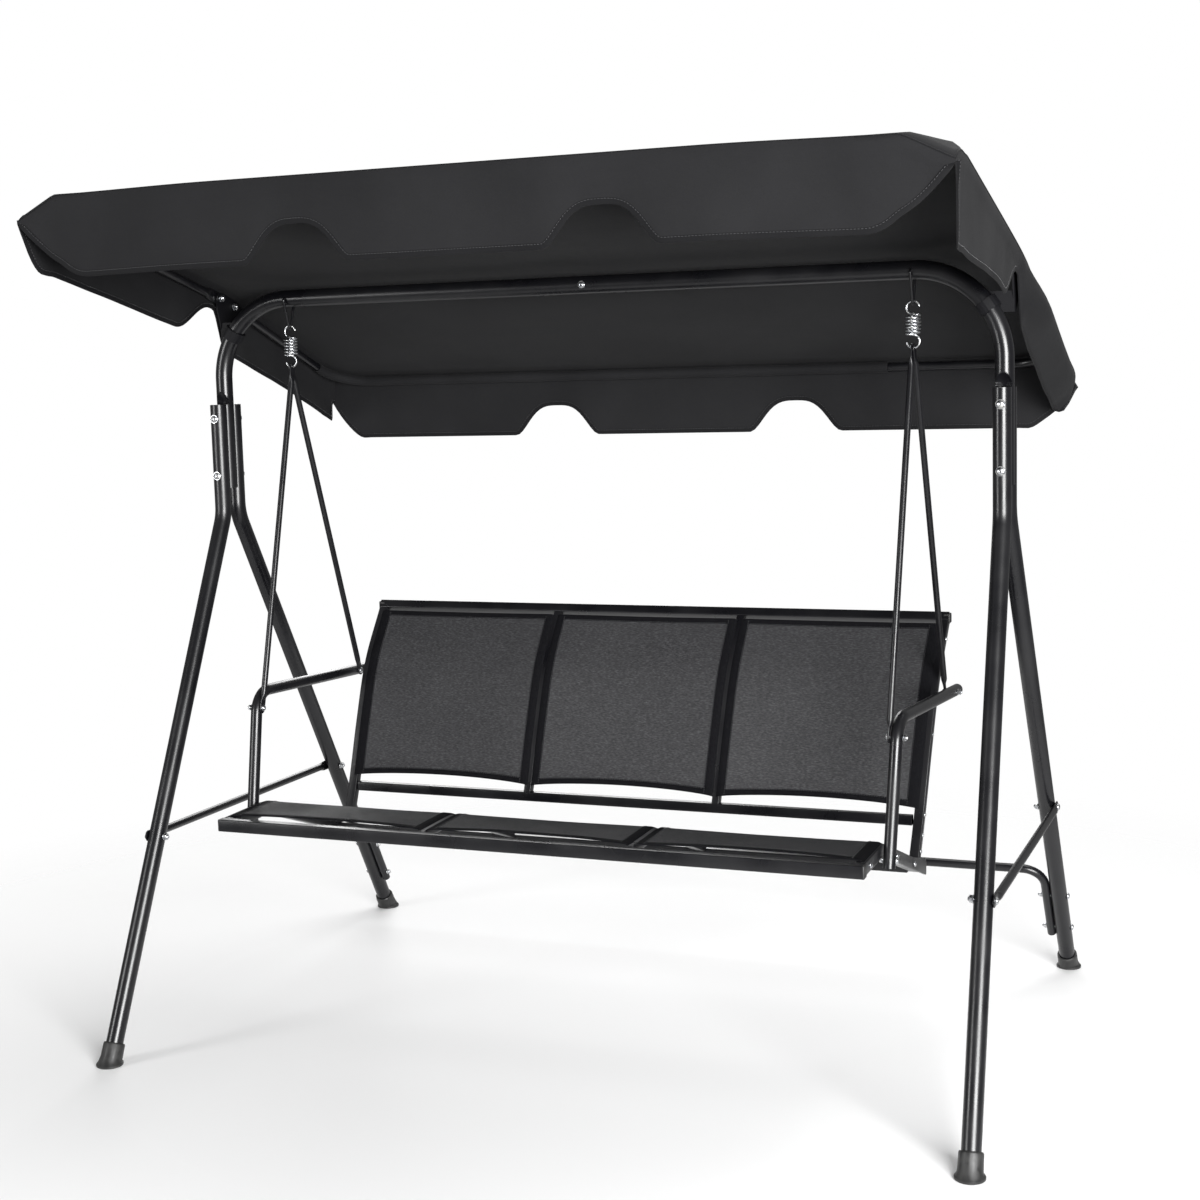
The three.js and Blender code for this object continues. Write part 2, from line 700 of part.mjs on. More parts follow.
add('back_top_rail', crossRail(BACK_SPLAY.high + RAIL_W / 2, BACK_TOP.y, BACK_TOP.z, RAIL_W, RAIL_W), MATERIALS.frame);
add('back_bottom_rail',
  crossRail(BACK_SPLAY.low - RAIL_W / 2 - 1, BACK_BOTTOM.y, BACK_BOTTOM.z, RIB_W, RAIL_W), MATERIALS.frame);
for (const [sideName, side] of SIDES) {
  add(`back_side_rail_${sideName}`,
    backRail(side * BACK_SPLAY.low, side * BACK_SPLAY.high, 0, BACK_RIB_SPAN.to, RAIL_W), MATERIALS.frame);
  add(`back_rib_${sideName}`,
    backRail(side * RIB_X, side * RIB_X, BACK_RIB_SPAN.from + 0.03, BACK_RIB_SPAN.to, RIB_W), MATERIALS.frame);
}

// ---------------------------------------------------------------- bench: slings

const PANELS = [
  ['left', -SEAT_HALF + 13, -RIB_X - 2],
  ['middle', -RIB_X + 2, RIB_X - 2],
  ['right', RIB_X + 2, SEAT_HALF - 13],
];
const SEAT_SLING_Y = { front: -334, rear: 52 };
const BACK_SLING_SPAN = { from: 0.225, to: 0.955 };

function seatSling(lowX, highX) {
  const depth = -SLING_T / 2 - 2 * GAP;
  const route = seatLine((lowX + highX) / 2, SEAT_SLING_Y.front, SEAT_SLING_Y.rear, depth);
  return sweep(route, rectangle(highX - lowX, SLING_T));
}

// Stands just in front of the ribs and follows their curve.
function backSling(lowX, highX) {
  const steps = 7;
  const stand = BACK_DEPTH / 2 + SLING_T / 2 + 3 * GAP;
  const line = [];
  for (let i = 0; i <= steps; i++) {
    const t = THREE.MathUtils.lerp(BACK_SLING_SPAN.from, BACK_SLING_SPAN.to, i / steps);
    const tangent = BACK_LINE.getTangentAt(t);
    line.push(backAt(t).add(point((lowX + highX) / 2, -tangent.z * stand, tangent.y * stand)));
  }
  return sweep(new Route(line), rectangle(highX - lowX, SLING_T));
}

for (const [name, lowX, highX] of PANELS) {
  add(`seat_sling_${name}`, seatSling(lowX, highX), MATERIALS.sling);
  add(`back_sling_${name}`, backSling(lowX, highX), MATERIALS.sling);
}

// ---------------------------------------------------------------- canopy brackets

const BRACKET_T = 3;
const BRACKET_X = CANOPY_ARM_X - 2 - GAP - BRACKET_T;      // inner face of the side plate
const CLAMP_ANGLE = THREE.MathUtils.degToRad(35);

// The slot's centre line is an arc about the pivot bolt.
function clampSlot(side) {
  const reach = Math.hypot(CANOPY_CLAMP.y - CANOPY_PIVOT.y, CANOPY_CLAMP.z - CANOPY_PIVOT.z);
  const rest = Math.atan2(CANOPY_CLAMP.z - CANOPY_PIVOT.z, CANOPY_CLAMP.y - CANOPY_PIVOT.y);
  const tools = [];
  for (const degrees of [-6.5, -3, 0, 3, 6.5]) {
    const angle = rest + THREE.MathUtils.degToRad(degrees);
    const y = CANOPY_PIVOT.y + reach * Math.cos(angle);
    const z = CANOPY_PIVOT.z + reach * Math.sin(angle);
    tools.push(pin(point(side * (BRACKET_X - 5), y, z), point(side * (BRACKET_X + 10), y, z), HOLE_R));
  }
  return join(...tools);
}

function canopyBracket(side) {
  const centre = point(side * (LEG_TOP_X - BAR_BEND + BAR_BEND * Math.cos(CLAMP_ANGLE)), 0,
    BAR_Z - BAR_BEND + BAR_BEND * Math.sin(CLAMP_ANGLE));
  const along = point(-side * Math.sin(CLAMP_ANGLE), 0, Math.cos(CLAMP_ANGLE));
  const start = centre.clone().addScaledVector(along, -11);
  const finish = centre.clone().addScaledVector(along, 11);
  const band = pin(start, finish, BAR_R + 4.5, 20);
  const web = box(
    point(Math.min(centre.x, side * (BRACKET_X + 1)), BAR_R + 1.2, 1424),
    point(Math.max(centre.x, side * (BRACKET_X + 1)), BAR_R + 1.2 + BRACKET_T, 1462),
  );
  const outline = new THREE.Shape([
    [12, 1525], [6, 1518], [6, 1490], [BAR_R + 1.2, 1448], [BAR_R + 1.2, 1424], [34, 1424], [90, 1472], [88, 1504],
    [82, 1508], [30, 1525],
  ].map(([y, z]) => new THREE.Vector2(y, z)));
  const plate = new THREE.ExtrudeGeometry(outline, { depth: BRACKET_T, bevelEnabled: false })
    .applyMatrix4(new THREE.Matrix4().makeBasis(point(0, 1, 0), point(0, 0, 1), point(1, 0, 0)))
    .translate(side < 0 ? -BRACKET_X - BRACKET_T : BRACKET_X, 0, 0);
  const barRoom = sweep(barRoute(side, 200, LEG_TOP_Z), polygon(BAR_R + 2 * GAP, 20));
  const pivotHole = pin(
    point(side * (BRACKET_X - 5), CANOPY_PIVOT.y, CANOPY_PIVOT.z),
    point(side * (BRACKET_X + 10), CANOPY_PIVOT.y, CANOPY_PIVOT.z),
    HOLE_R,
  );
  return cut(join(band, web, plate), barRoom, pivotHole, clampSlot(side));
}

for (const [sideName, side] of SIDES) {
  add(`canopy_bracket_${sideName}`, canopyBracket(side), MATERIALS.frame);
}

// ---------------------------------------------------------------- canopy frame

const CANOPY_FLAT_HALF = 1.8;

// A U-shaped tube: side arms from the bracket and a cross part, in one tilted plane.
function canopyTube(edge, hole, armX) {
  const corners = [
    [-armX, hole], [-armX, edge], [armX, edge], [armX, hole],
  ].map(([x, { y, z }]) => point(x, y, z));
  const overhang = corners[0].clone().sub(corners[1]).normalize().multiplyScalar(12);
  corners[0].add(overhang);
  corners[3].add(overhang);
  const tube = flatEndedTube(corners, {
    radius: CANOPY_TUBE_R, wall: 1.2, across: point(1, 0, 0), side: point(1, 0, 0).cross(overhang).normalize(),
    flat: 42, taper: 24, half: CANOPY_FLAT_HALF, bend: CANOPY_CORNER,
  });
  const holes = [-1, 1].map((side) => pin(
    point(side * (armX - 12), hole.y, hole.z),
    point(side * (armX + 12), hole.y, hole.z),
    HOLE_R,
  ));
  return cut(tube, ...holes);
}

function canopyBolt(side, at, armX) {
  const outside = armX + CANOPY_FLAT_HALF + GAP;
  const inside = BRACKET_X - GAP;
  return bolt(point(side * outside, at.y, at.z), point(-side, 0, 0), outside - inside, BOLT_R, 8, 4);
}

add('canopy_front_tube', canopyTube(CANOPY_FRONT, CANOPY_PIVOT, CANOPY_ARM_X), MATERIALS.frame);
add('canopy_rear_tube', canopyTube(CANOPY_REAR, CANOPY_CLAMP, CANOPY_ARM_X), MATERIALS.frame);
for (const [sideName, side] of SIDES) {
  add(`canopy_pivot_bolt_${sideName}`, canopyBolt(side, CANOPY_PIVOT, CANOPY_ARM_X), MATERIALS.zinc);
  add(`canopy_clamp_bolt_${sideName}`, canopyBolt(side, CANOPY_CLAMP, CANOPY_ARM_X), MATERIALS.zinc);
}

// ---------------------------------------------------------------- canopy fabric

const EDGE_REACH = CANOPY_TUBE_R + 2.5 + FABRIC_T;          // from the tubes' axis to the outside of the cloth
const EDGE_X = CANOPY_ARM_X + EDGE_REACH;
const EDGE_FRONT = CANOPY_FRONT.y - EDGE_REACH;
const EDGE_REAR = CANOPY_REAR.y + EDGE_REACH;
const ROOF_LIFT = CANOPY_TUBE_R + 2;            // underside of the cloth above the tubes' axis
const RIDGE = { y: 45, z: 1532 };

// The underside of the roof in the Y-Z plane: over the front tube, the top bar and the rear tube.
const ROOF_LINE = [
  { y: EDGE_FRONT - 5, z: CANOPY_FRONT.z + ROOF_LIFT + 3 },
  RIDGE,
  { y: EDGE_REAR + 5, z: CANOPY_REAR.z + ROOF_LIFT - 5 },
];

function roofAt(y) {
  const [front, ridge, rear] = ROOF_LINE;
  const [from, to] = y < ridge.y ? [front, ridge] : [ridge, rear];
  return THREE.MathUtils.mapLinear(y, from.y, to.y, from.z, to.z);
}

function extrudeAlongX(points, halfLength) {
  const shape = new THREE.Shape(points.map(([y, z]) => new THREE.Vector2(y, z)));
  return new THREE.ExtrudeGeometry(shape, { depth: 2 * halfLength, bevelEnabled: false })
    .applyMatrix4(new THREE.Matrix4().makeBasis(point(0, 1, 0), point(0, 0, 1), point(1, 0, 0)))
    .translate(-halfLength, 0, 0);
}

function extrudeAlongY(points, fromY, toY) {
  const shape = new THREE.Shape(points.map(([x, z]) => new THREE.Vector2(x, z)));
  return new THREE.ExtrudeGeometry(shape, { depth: toY - fromY, bevelEnabled: false })
    .applyMatrix4(new THREE.Matrix4().makeBasis(point(1, 0, 0), point(0, 0, 1), point(0, -1, 0)))
    .translate(0, toY, 0);
}

// The canopy's outline in plan, pulled in by `inset`, as an upright prism.
function planPrism(inset) {
  const radius = CLOTH_CORNER - inset;
  const x = EDGE_X - inset;
  const front = EDGE_FRONT + inset;
  const rear = EDGE_REAR - inset;
  const shape = new THREE.Shape();
  shape.absarc(x - radius, front + radius, radius, -Math.PI / 2, 0);
  shape.absarc(x - radius, rear - radius, radius, 0, Math.PI / 2);
  shape.absarc(-x + radius, rear - radius, radius, Math.PI / 2, Math.PI);
  shape.absarc(-x + radius, front + radius, radius, Math.PI, 1.5 * Math.PI);
  return new THREE.ExtrudeGeometry(shape, { depth: 800, bevelEnabled: false, curveSegments: 4 }).translate(0, 0, 1000);
}

// How far the valance hangs below the roof at a distance from a notch's middle.
function scallop(distance, notchDepth, notchHalf) {
  const share = THREE.MathUtils.smoothstep(Math.abs(distance), 0.15 * notchHalf, notchHalf);
  return THREE.MathUtils.lerp(VALANCE_DROP - notchDepth, VALANCE_DROP, share);
}

const NOTCH_X = 280;

// The lower edge across the front or the rear, as points from one end to the other.
function crossEdge(topZ, notchDepth, notchHalf) {
  const points = [];
  const stops = [-870, -840, -770];
  for (const notch of [-NOTCH_X, NOTCH_X]) {
    for (const share of [-1, -0.7, -0.4, 0, 0.4, 0.7, 1]) {
      stops.push(notch + share * notchHalf);
    }
  }
  stops.push(770, 840, 870);
  for (const x of stops) {
    const nearest = Math.min(Math.abs(x - NOTCH_X), Math.abs(x + NOTCH_X));
    const lift = 40 * THREE.MathUtils.smoothstep(Math.abs(x), 770, 870);
    points.push([x, topZ - scallop(nearest, notchDepth, notchHalf) + lift]);
  }
  return points;
}

const SIDE_NOTCH = { y: -8, half: 75, depth: 84 };

function sideEdge(fromY, toY) {
  const stops = [fromY, -330];
  for (const share of [-1, -0.7, -0.4, 0, 0.4, 0.7, 1]) {
    stops.push(SIDE_NOTCH.y + share * SIDE_NOTCH.half);
  }
  stops.push(260, toY);
  return stops.map((y) => [y, roofAt(y) - scallop(y - SIDE_NOTCH.y, SIDE_NOTCH.depth, SIDE_NOTCH.half)]);
}

function canopyFabric() {
  const low = 1000;
  const under = ROOF_LINE.map(({ y, z }) => [y, z]);
  const over = ROOF_LINE.map(({ y, z }) => [y, z + FABRIC_T]).reverse();
  const roof = common(planPrism(0), extrudeAlongX([...under, ...over], 900));
  const below = extrudeAlongX([[ROOF_LINE[0].y, low], [ROOF_LINE[2].y, low], ...over], 900);
  const wall = common(cut(planPrism(0), planPrism(FABRIC_T)), below);
  const cornerY = 80;
  const frontTrim = extrudeAlongY(
    [[-900, low], ...crossEdge(CANOPY_FRONT.z + ROOF_LIFT, 66, 100), [900, low]],
    EDGE_FRONT - 5, EDGE_FRONT + cornerY);
  const rearTrim = extrudeAlongY(
    [[-900, low], ...crossEdge(CANOPY_REAR.z + ROOF_LIFT, 66, 95), [900, low]],
    EDGE_REAR - cornerY, EDGE_REAR + 5);
  const sideTrim = extrudeAlongX(
    [[EDGE_FRONT + cornerY - 1, low], ...sideEdge(EDGE_FRONT + cornerY - 1, EDGE_REAR - cornerY + 1),
      [EDGE_REAR - cornerY + 1, low]].reverse(), 900);
  return join(roof, cut(wall, frontTrim, rearTrim, sideTrim));
}

add('canopy_fabric', canopyFabric(), MATERIALS.canopy);

// ---------------------------------------------------------------- origin

const bounds = new THREE.Box3().setFromObject(swing);
swing.position.set(0, -(bounds.min.y + bounds.max.y) / 2, -bounds.min.z);

export default swing;
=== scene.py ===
"""The looks of a three-seat garden swing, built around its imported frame. Metres, +Z up, +Y to the back."""

import json
import math

import bpy
from mathutils import Matrix, Vector, noise


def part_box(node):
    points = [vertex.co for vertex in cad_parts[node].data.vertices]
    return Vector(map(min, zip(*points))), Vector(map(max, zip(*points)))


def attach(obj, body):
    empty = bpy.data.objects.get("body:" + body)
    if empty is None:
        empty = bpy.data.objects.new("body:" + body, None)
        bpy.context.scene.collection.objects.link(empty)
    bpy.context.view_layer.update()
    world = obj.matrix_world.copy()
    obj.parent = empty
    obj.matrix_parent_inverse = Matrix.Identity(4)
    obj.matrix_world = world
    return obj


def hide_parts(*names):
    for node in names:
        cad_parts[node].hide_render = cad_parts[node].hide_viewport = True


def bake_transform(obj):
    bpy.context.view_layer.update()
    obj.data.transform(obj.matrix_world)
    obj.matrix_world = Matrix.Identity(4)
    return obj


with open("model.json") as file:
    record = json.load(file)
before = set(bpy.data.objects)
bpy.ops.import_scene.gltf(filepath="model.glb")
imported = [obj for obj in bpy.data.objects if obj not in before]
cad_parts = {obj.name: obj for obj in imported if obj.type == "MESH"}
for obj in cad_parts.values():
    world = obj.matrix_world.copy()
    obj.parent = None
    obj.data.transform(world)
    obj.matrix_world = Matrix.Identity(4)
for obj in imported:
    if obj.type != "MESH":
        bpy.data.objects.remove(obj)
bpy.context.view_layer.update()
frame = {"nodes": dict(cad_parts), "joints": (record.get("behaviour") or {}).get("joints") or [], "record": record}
SIDES = (("left", -1), ("right", 1))
X_AXIS, Y_AXIS, Z_AXIS = Vector((1, 0, 0)), Vector((0, 1, 0)), Vector((0, 0, 1))


def middle(node):
    low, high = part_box(node)
    return (low + high) / 2


# ------------------------------------------------------------------ driving dimensions

BAR_Y = middle("top_bar_left").y              # the top bar's axis, seen from above
FEET = {m["name"]: Vector(m["pos_m"]) for m in frame["record"]["mounts"]}
JOINTS = {j["name"]: j for j in frame["joints"]}

LEG_R = 0.017
LEG_TOP_X = 0.825
LEG_TOP_Y = 0.028
LEG_TOP_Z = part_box("leg_front_left")[1].z
LEG_BEND_Z = 1.055
LEG_BOLT_ZS = {"upper": 1.259, "lower": 1.139}
BAR_R = 0.0175
BAR_Z = 1.506
BAR_BEND = 0.165
BAR_END_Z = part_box("top_bar_left")[0].z
BAR_SEAM_X = 0.030
SPLICE_X = middle("top_bar_splice_bolt").x

BRACE_R = 0.008
BRACE_Z = middle("side_brace_left").z
CROSSBAR_R = 0.0093
CROSSBAR_Z = 0.258
CROSSBAR_END_Z = 0.092

HANGER_X = abs(middle("spring_left").x)
PIVOT_Z = JOINTS["swing"]["pos_m"][2]
SPRING_WIRE_R = 0.0019
SPRING_COIL_R = 0.0132
SPRING_HOOK_R = 0.0123
SPRING_TURNS = 6
SPRING_PITCH = 0.0061
SPRING_FOOT_Z = PIVOT_Z - 4 * SPRING_HOOK_R - SPRING_TURNS * SPRING_PITCH
ROD_R = 0.006
ROD_EYE_Z = SPRING_FOOT_Z - 0.0008

SEAT_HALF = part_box("seat_front_rail")[1].x
SEAT_FRONT_Y, SEAT_FRONT_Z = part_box("seat_front_rail")[0].y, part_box("seat_front_rail")[1].z
SEAT_KNEE = (BAR_Y - 0.218, 0.484)            # the top of the side rails, where they bend down to the back
SEAT_KNEE_BEND = 0.080
SEAT_SLOPE = 0.354
SEAT_REAR_Y = BAR_Y + 0.070
RAIL_W = 0.020
RAIL_H = 0.024
RIB_X = 0.211
RIB_W = 0.016
ARM_R = 0.0115
ARM_CORNERS = [Vector((0.659, BAR_Y - 0.234, 0.443)), Vector((0.665, BAR_Y - 0.183, 0.704)),
               Vector((0.679, BAR_Y + 0.292, 0.680))]
ARM_BEND = 0.050

CANOPY_TUBE_R = 0.009
CANOPY_ARM_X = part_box("canopy_bracket_right")[1].x + 0.0023
CANOPY_PIVOT = Vector(JOINTS["canopy_tilt"]["pos_m"])
CANOPY_CLAMP = Vector((0, BAR_Y + 0.070, 1.497))
CANOPY_FRONT = Vector((0, BAR_Y - 0.592, 1.668))
CANOPY_REAR = Vector((0, BAR_Y + 0.517, 1.330))
CANOPY_CORNER = 0.088


# ------------------------------------------------------------------ meshes


class Shell:
    """Collects the vertices, faces, materials and cloth coordinates of one piece."""

    def __init__(self):
        self.vertices, self.faces, self.materials, self.places = [], [], [], []

    def add(self, vertices, faces, material=0, places=None):
        first = len(self.vertices)
        self.vertices += [Vector(v) for v in vertices]
        self.faces += [[first + i for i in face] for face in faces]
        self.materials += [material] * len(faces)
        self.places += places or [(0.0, 0.0)] * len(vertices)
        return self

    def piece(self, name, body, slot, materials, replaces=(), crease=35, ride=True):
        """Makes the object. Its UV map holds each vertex's place on the flat cloth, in metres."""
        mesh = bpy.data.meshes.new(name)
        mesh.from_pydata([tuple(v) for v in self.vertices], [], self.faces)
        mesh.polygons.foreach_set("material_index", self.materials)
        layer = mesh.uv_layers.new(name="cloth")
        for loop in mesh.loops:
            layer.data[loop.index].uv = self.places[loop.vertex_index]
        for material in materials:
            mesh.materials.append(material)
        mesh.polygons.foreach_set("use_smooth", [True] * len(mesh.polygons))
        mesh.set_sharp_from_angle(angle=math.radians(crease))
        mesh.update()
        thing = bpy.data.objects.new(name, mesh)
        bpy.context.scene.collection.objects.link(thing)
        if ride:
            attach(thing, body)
        if replaces:
            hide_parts(*replaces)
        return thing


def smooth(low, high, value):
    t = min(max((value - low) / (high - low), 0.0), 1.0)
    return t * t * (3 - 2 * t)


def route(corners, bend=0.0, steps=16):
    """The points of a line of straight stretches joined by round bends."""
    points = [corners[0]]
    for before, corner, after in zip(corners, corners[1:], corners[2:]):
        inward = (before - corner).normalized()
        outward = (after - corner).normalized()
        half = inward.angle(outward) / 2
        if bend == 0 or math.pi - 2 * half < 0.01:
            points.append(corner)
            continue
        centre = corner + (inward + outward).normalized() * bend / math.sin(half)
        start = corner + inward * bend / math.tan(half) - centre
        axis = (-inward).cross(outward).normalized()
        for k in range(steps + 1):
            turn = Matrix.Rotation((math.pi - 2 * half) * k / steps, 3, axis)
            points.append(centre + turn @ start)
    return points + [corners[-1]]


def divided(points, spacing):
    """The same line with a point at least every `spacing`."""
    result = [points[0]]
    for a, b in zip(points, points[1:]):
        count = max(1, math.ceil((b - a).length / spacing))
        result += [a.lerp(b, (k + 1) / count) for k in range(count)]
    return result


def along_line(points, distance):
    """The point of a line at a distance from its start."""
    for a, b in zip(points, points[1:]):
        length = (b - a).length
        if distance <= length:
            return a.lerp(b, distance / length)
        distance -= length
    return points[-1]


def circle(radius, sides=32):
    turns = [2 * math.pi * i / sides for i in range(sides)]
    return [(radius * math.cos(t), radius * math.sin(t)) for t in turns]


def rounded(width, height, corner=0.0022, steps=4):
    """A rectangle with round corners, as a list of points."""
    points = []
    for quarter, (sx, sy) in enumerate(((1, 1), (-1, 1), (-1, -1), (1, -1))):
        for k in range(steps + 1):
            t = math.pi / 2 * (quarter + k / steps)
            points.append((sx * (width / 2 - corner) + corner * math.cos(t),
                           sy * (height / 2 - corner) + corner * math.sin(t)))
    return points


def skin(rings, sides):
    """The faces that join a row of rings of vertices, with both ends closed."""
    faces = []
    for i in range(rings - 1):
        for k in range(sides):
            j = (k + 1) % sides
            faces.append([i * sides + k, i * sides + j, (i + 1) * sides + j, (i + 1) * sides + k])
    return faces + [list(range(sides))[::-1], [(rings - 1) * sides + k for k in range(sides)]]


def sweep(shell, points, side, section, material=0, wall=0.0, depth=0.012):
    """Skins a line. section(i) is the outline at point i: (across, up) pairs. A wall leaves open ends."""
    rings = []
    last = len(points) - 1
    for i, centre in enumerate(points):
        tangent = (points[min(i + 1, last)] - points[max(i - 1, 0)]).normalized()
        up = tangent.cross(side).normalized()
        across = up.cross(tangent).normalized()
        rings.append((centre, tangent, across, up, section(i)))
    if wall > 0:
        rings = open_end(rings[0], wall, depth, 1) + rings + open_end(rings[-1], wall, depth, -1)[::-1]
    vertices = [c + a * p + u * q for c, _, a, u, outline in rings for p, q in outline]
    return shell.add(vertices, skin(len(rings), len(rings[0][4])), material)


def open_end(ring, wall, depth, inward):
    """The rings that lead from inside a tube's open end to its rim, deepest first."""
    centre, tangent, across, up, outline = ring
    reach = max(math.hypot(p, q) for p, q in outline)
    inner = [(p * (1 - wall / reach), q * (1 - wall / reach)) for p, q in outline]
    inside = centre + tangent * depth * inward
    return [(inside, tangent, across, up, inner), (centre, tangent, across, up, inner)]


THICK_WALL, THIN_WALL = 0.0015, 0.0012


def tube(node, points, side, radius, body, wall=THICK_WALL):
    shell = sweep(Shell(), points, side, lambda i: circle(radius), wall=wall)
    return shell.piece(f"{node}_tube", body, "frame_paint", [PAINT], [node])


def rail(node, points, side, width, height):
    """A square tube of the seat or its back."""
    shell = sweep(Shell(), points, side, lambda i: rounded(width, height), wall=THICK_WALL)
    return shell.piece(f"{node}_tube", "seat", "frame_paint", [PAINT], [node])


def pressed_outline(radius, half, amount, sides=32):
    """Between a round section and the flat one that pressing makes of it."""
    points = []
    for i in range(sides):
        t = 2 * math.pi * i / sides
        c, s = math.cos(t), math.sin(t)
        wide = math.copysign(abs(c) ** 0.45, c) * radius * 1.42
        thin = math.copysign(abs(s) ** 0.7, s) * half
        points.append((radius * c + (wide - radius * c) * amount, radius * s + (thin - radius * s) * amount))
    return points


def flat_ended(name, node, corners, side, radius, half, flat, taper, body, bend=0.0):
    """A tube whose ends are pressed flat, with the flats square to X."""
    points = divided(route(corners, bend), 0.004 if bend == 0 else 0.006)
    lengths = [0.0]
    for a, b in zip(points, points[1:]):
        lengths.append(lengths[-1] + (b - a).length)
    total = lengths[-1]
    quarter = abs(side.normalized().dot(X_AXIS)) > 0.7

    def section(i):
        reach = min(lengths[i], total - lengths[i])
        amount = 1 - smooth(flat, flat + taper, reach)
        nose = min(1.0, math.sqrt(max(reach, 0.0002) / 0.006)) if reach < 0.006 else 1.0
        outline = pressed_outline(radius, half, amount)
        outline = [(p * (1 - amount * (1 - nose)), q) for p, q in outline]
        return [(-q, p) for p, q in outline] if quarter else outline

    shell = sweep(Shell(), points, side, section)
    return shell.piece(name, body, "frame_paint", [PAINT], [node])


def turned(shell, profile, origin, axis, sides=28, material=0):
    """Turns (radius, height) pairs about an axis. The profile starts and ends on the axis, or closes."""
    tip = axis.to_track_quat("Z", "X").to_matrix()
    vertices, rings = [], []
    for radius, height in profile:
        if radius < 1e-7:
            rings.append([len(vertices)])
            vertices.append(origin + tip @ Vector((0, 0, height)))
            continue
        ring = []
        for k in range(sides):
            t = 2 * math.pi * k / sides
            ring.append(len(vertices))
            vertices.append(origin + tip @ Vector((radius * math.cos(t), radius * math.sin(t), height)))
        rings.append(ring)
    faces = []
    for low, high in zip(rings, rings[1:]):
        for k in range(sides):
            j = (k + 1) % sides
            if len(low) == 1:
                faces.append([low[0], high[j], high[k]])
            elif len(high) == 1:
                faces.append([low[k], low[j], high[0]])
            else:
                faces.append([low[k], low[j], high[j], high[k]])
    return shell.add(vertices, faces, material)


# ------------------------------------------------------------------ fasteners


def hex_nut(shell, origin, axis, radius, height):
    """A chamfered nut on a shaft, from origin along axis."""
    tip = axis.to_track_quat("Z", "X").to_matrix()
    flat = 1.75 * radius
    levels = ((0.0, 0.90), (0.12, 1.0), (0.88, 1.0), (1.0, 0.90))
    vertices = []
    for share, size in levels:
        for k in range(6):
            for nudge in (-0.12, 0.12):
                t = math.pi / 3 * k + nudge
                vertices.append(origin + tip @ Vector((flat * size * math.cos(t), flat * size * math.sin(t),
                                                       height * share)))
    return shell.add(vertices, skin(len(levels), 12))


def washer(shell, origin, axis, radius, thickness=0.0011):
    profile = [(0, 0), (radius, 0), (radius, thickness * 0.8), (radius - 0.0003, thickness), (0, thickness)]
    return turned(shell, profile, origin, axis)


def domed_head(shell, origin, axis, radius, height):
    """A round head with a socket in it, standing on origin."""
    profile = [(0, 0), (radius * 0.97, 0), (radius, height * 0.12)]
    for k in range(1, 8):
        t = math.pi / 2 * k / 9
        profile.append((radius * math.cos(t), height * (0.12 + 0.88 * math.sin(t))))
    profile += [(radius * 0.32, height), (radius * 0.28, height * 0.55), (0, height * 0.5)]
    return turned(shell, profile, origin, axis)


def threaded_tail(shell, origin, axis, radius, length):
    pitch = 0.0011
    profile = [(0, 0)]
    for k in range(max(2, int(length / pitch))):
        profile += [(radius * 0.88, k * pitch), (radius, (k + 0.5) * pitch)]
    profile += [(radius * 0.8, length), (0, length)]
    return turned(shell, profile, origin, axis, sides=20)


def bolt(name, head, axis, grip, body, replaces=(), radius=0.004, head_radius=0.008, head_height=0.0045):
    """A domed bolt with washers and a nut: head is the point under the head, axis runs from it to the nut."""
    shell = Shell()
    washer(shell, head - axis * 0.0003, -axis, head_radius * 1.12)
    domed_head(shell, head - axis * 0.0013, -axis, head_radius * 0.95, head_height)
    turned(shell, [(0, 0), (radius, 0), (radius, grip), (0, grip)], head, axis, sides=16)
    far = head + axis * (grip + 0.0003)
    washer(shell, far, axis, 1.95 * radius)
    hex_nut(shell, far + axis * 0.0011, axis, radius, 1.4 * radius)
    threaded_tail(shell, far + axis * (0.0011 + 1.4 * radius - 0.0002), axis, radius, 0.0028)
    return shell.piece(name, body, "zinc", [ZINC], replaces, crease=28)


def screw(name, head, axis, radius, height=0.0026):
    """A pan-head screw seen from outside: axis points into the work."""
    shell = Shell()
    domed_head(shell, head, -axis, radius, height)
    turned(shell, [(0, 0), (radius * 0.5, 0), (radius * 0.5, 0.006), (0, 0.008)], head, axis, sides=14)
    return shell.piece(name, "seat", "zinc", [ZINC], crease=28)


# ------------------------------------------------------------------ materials


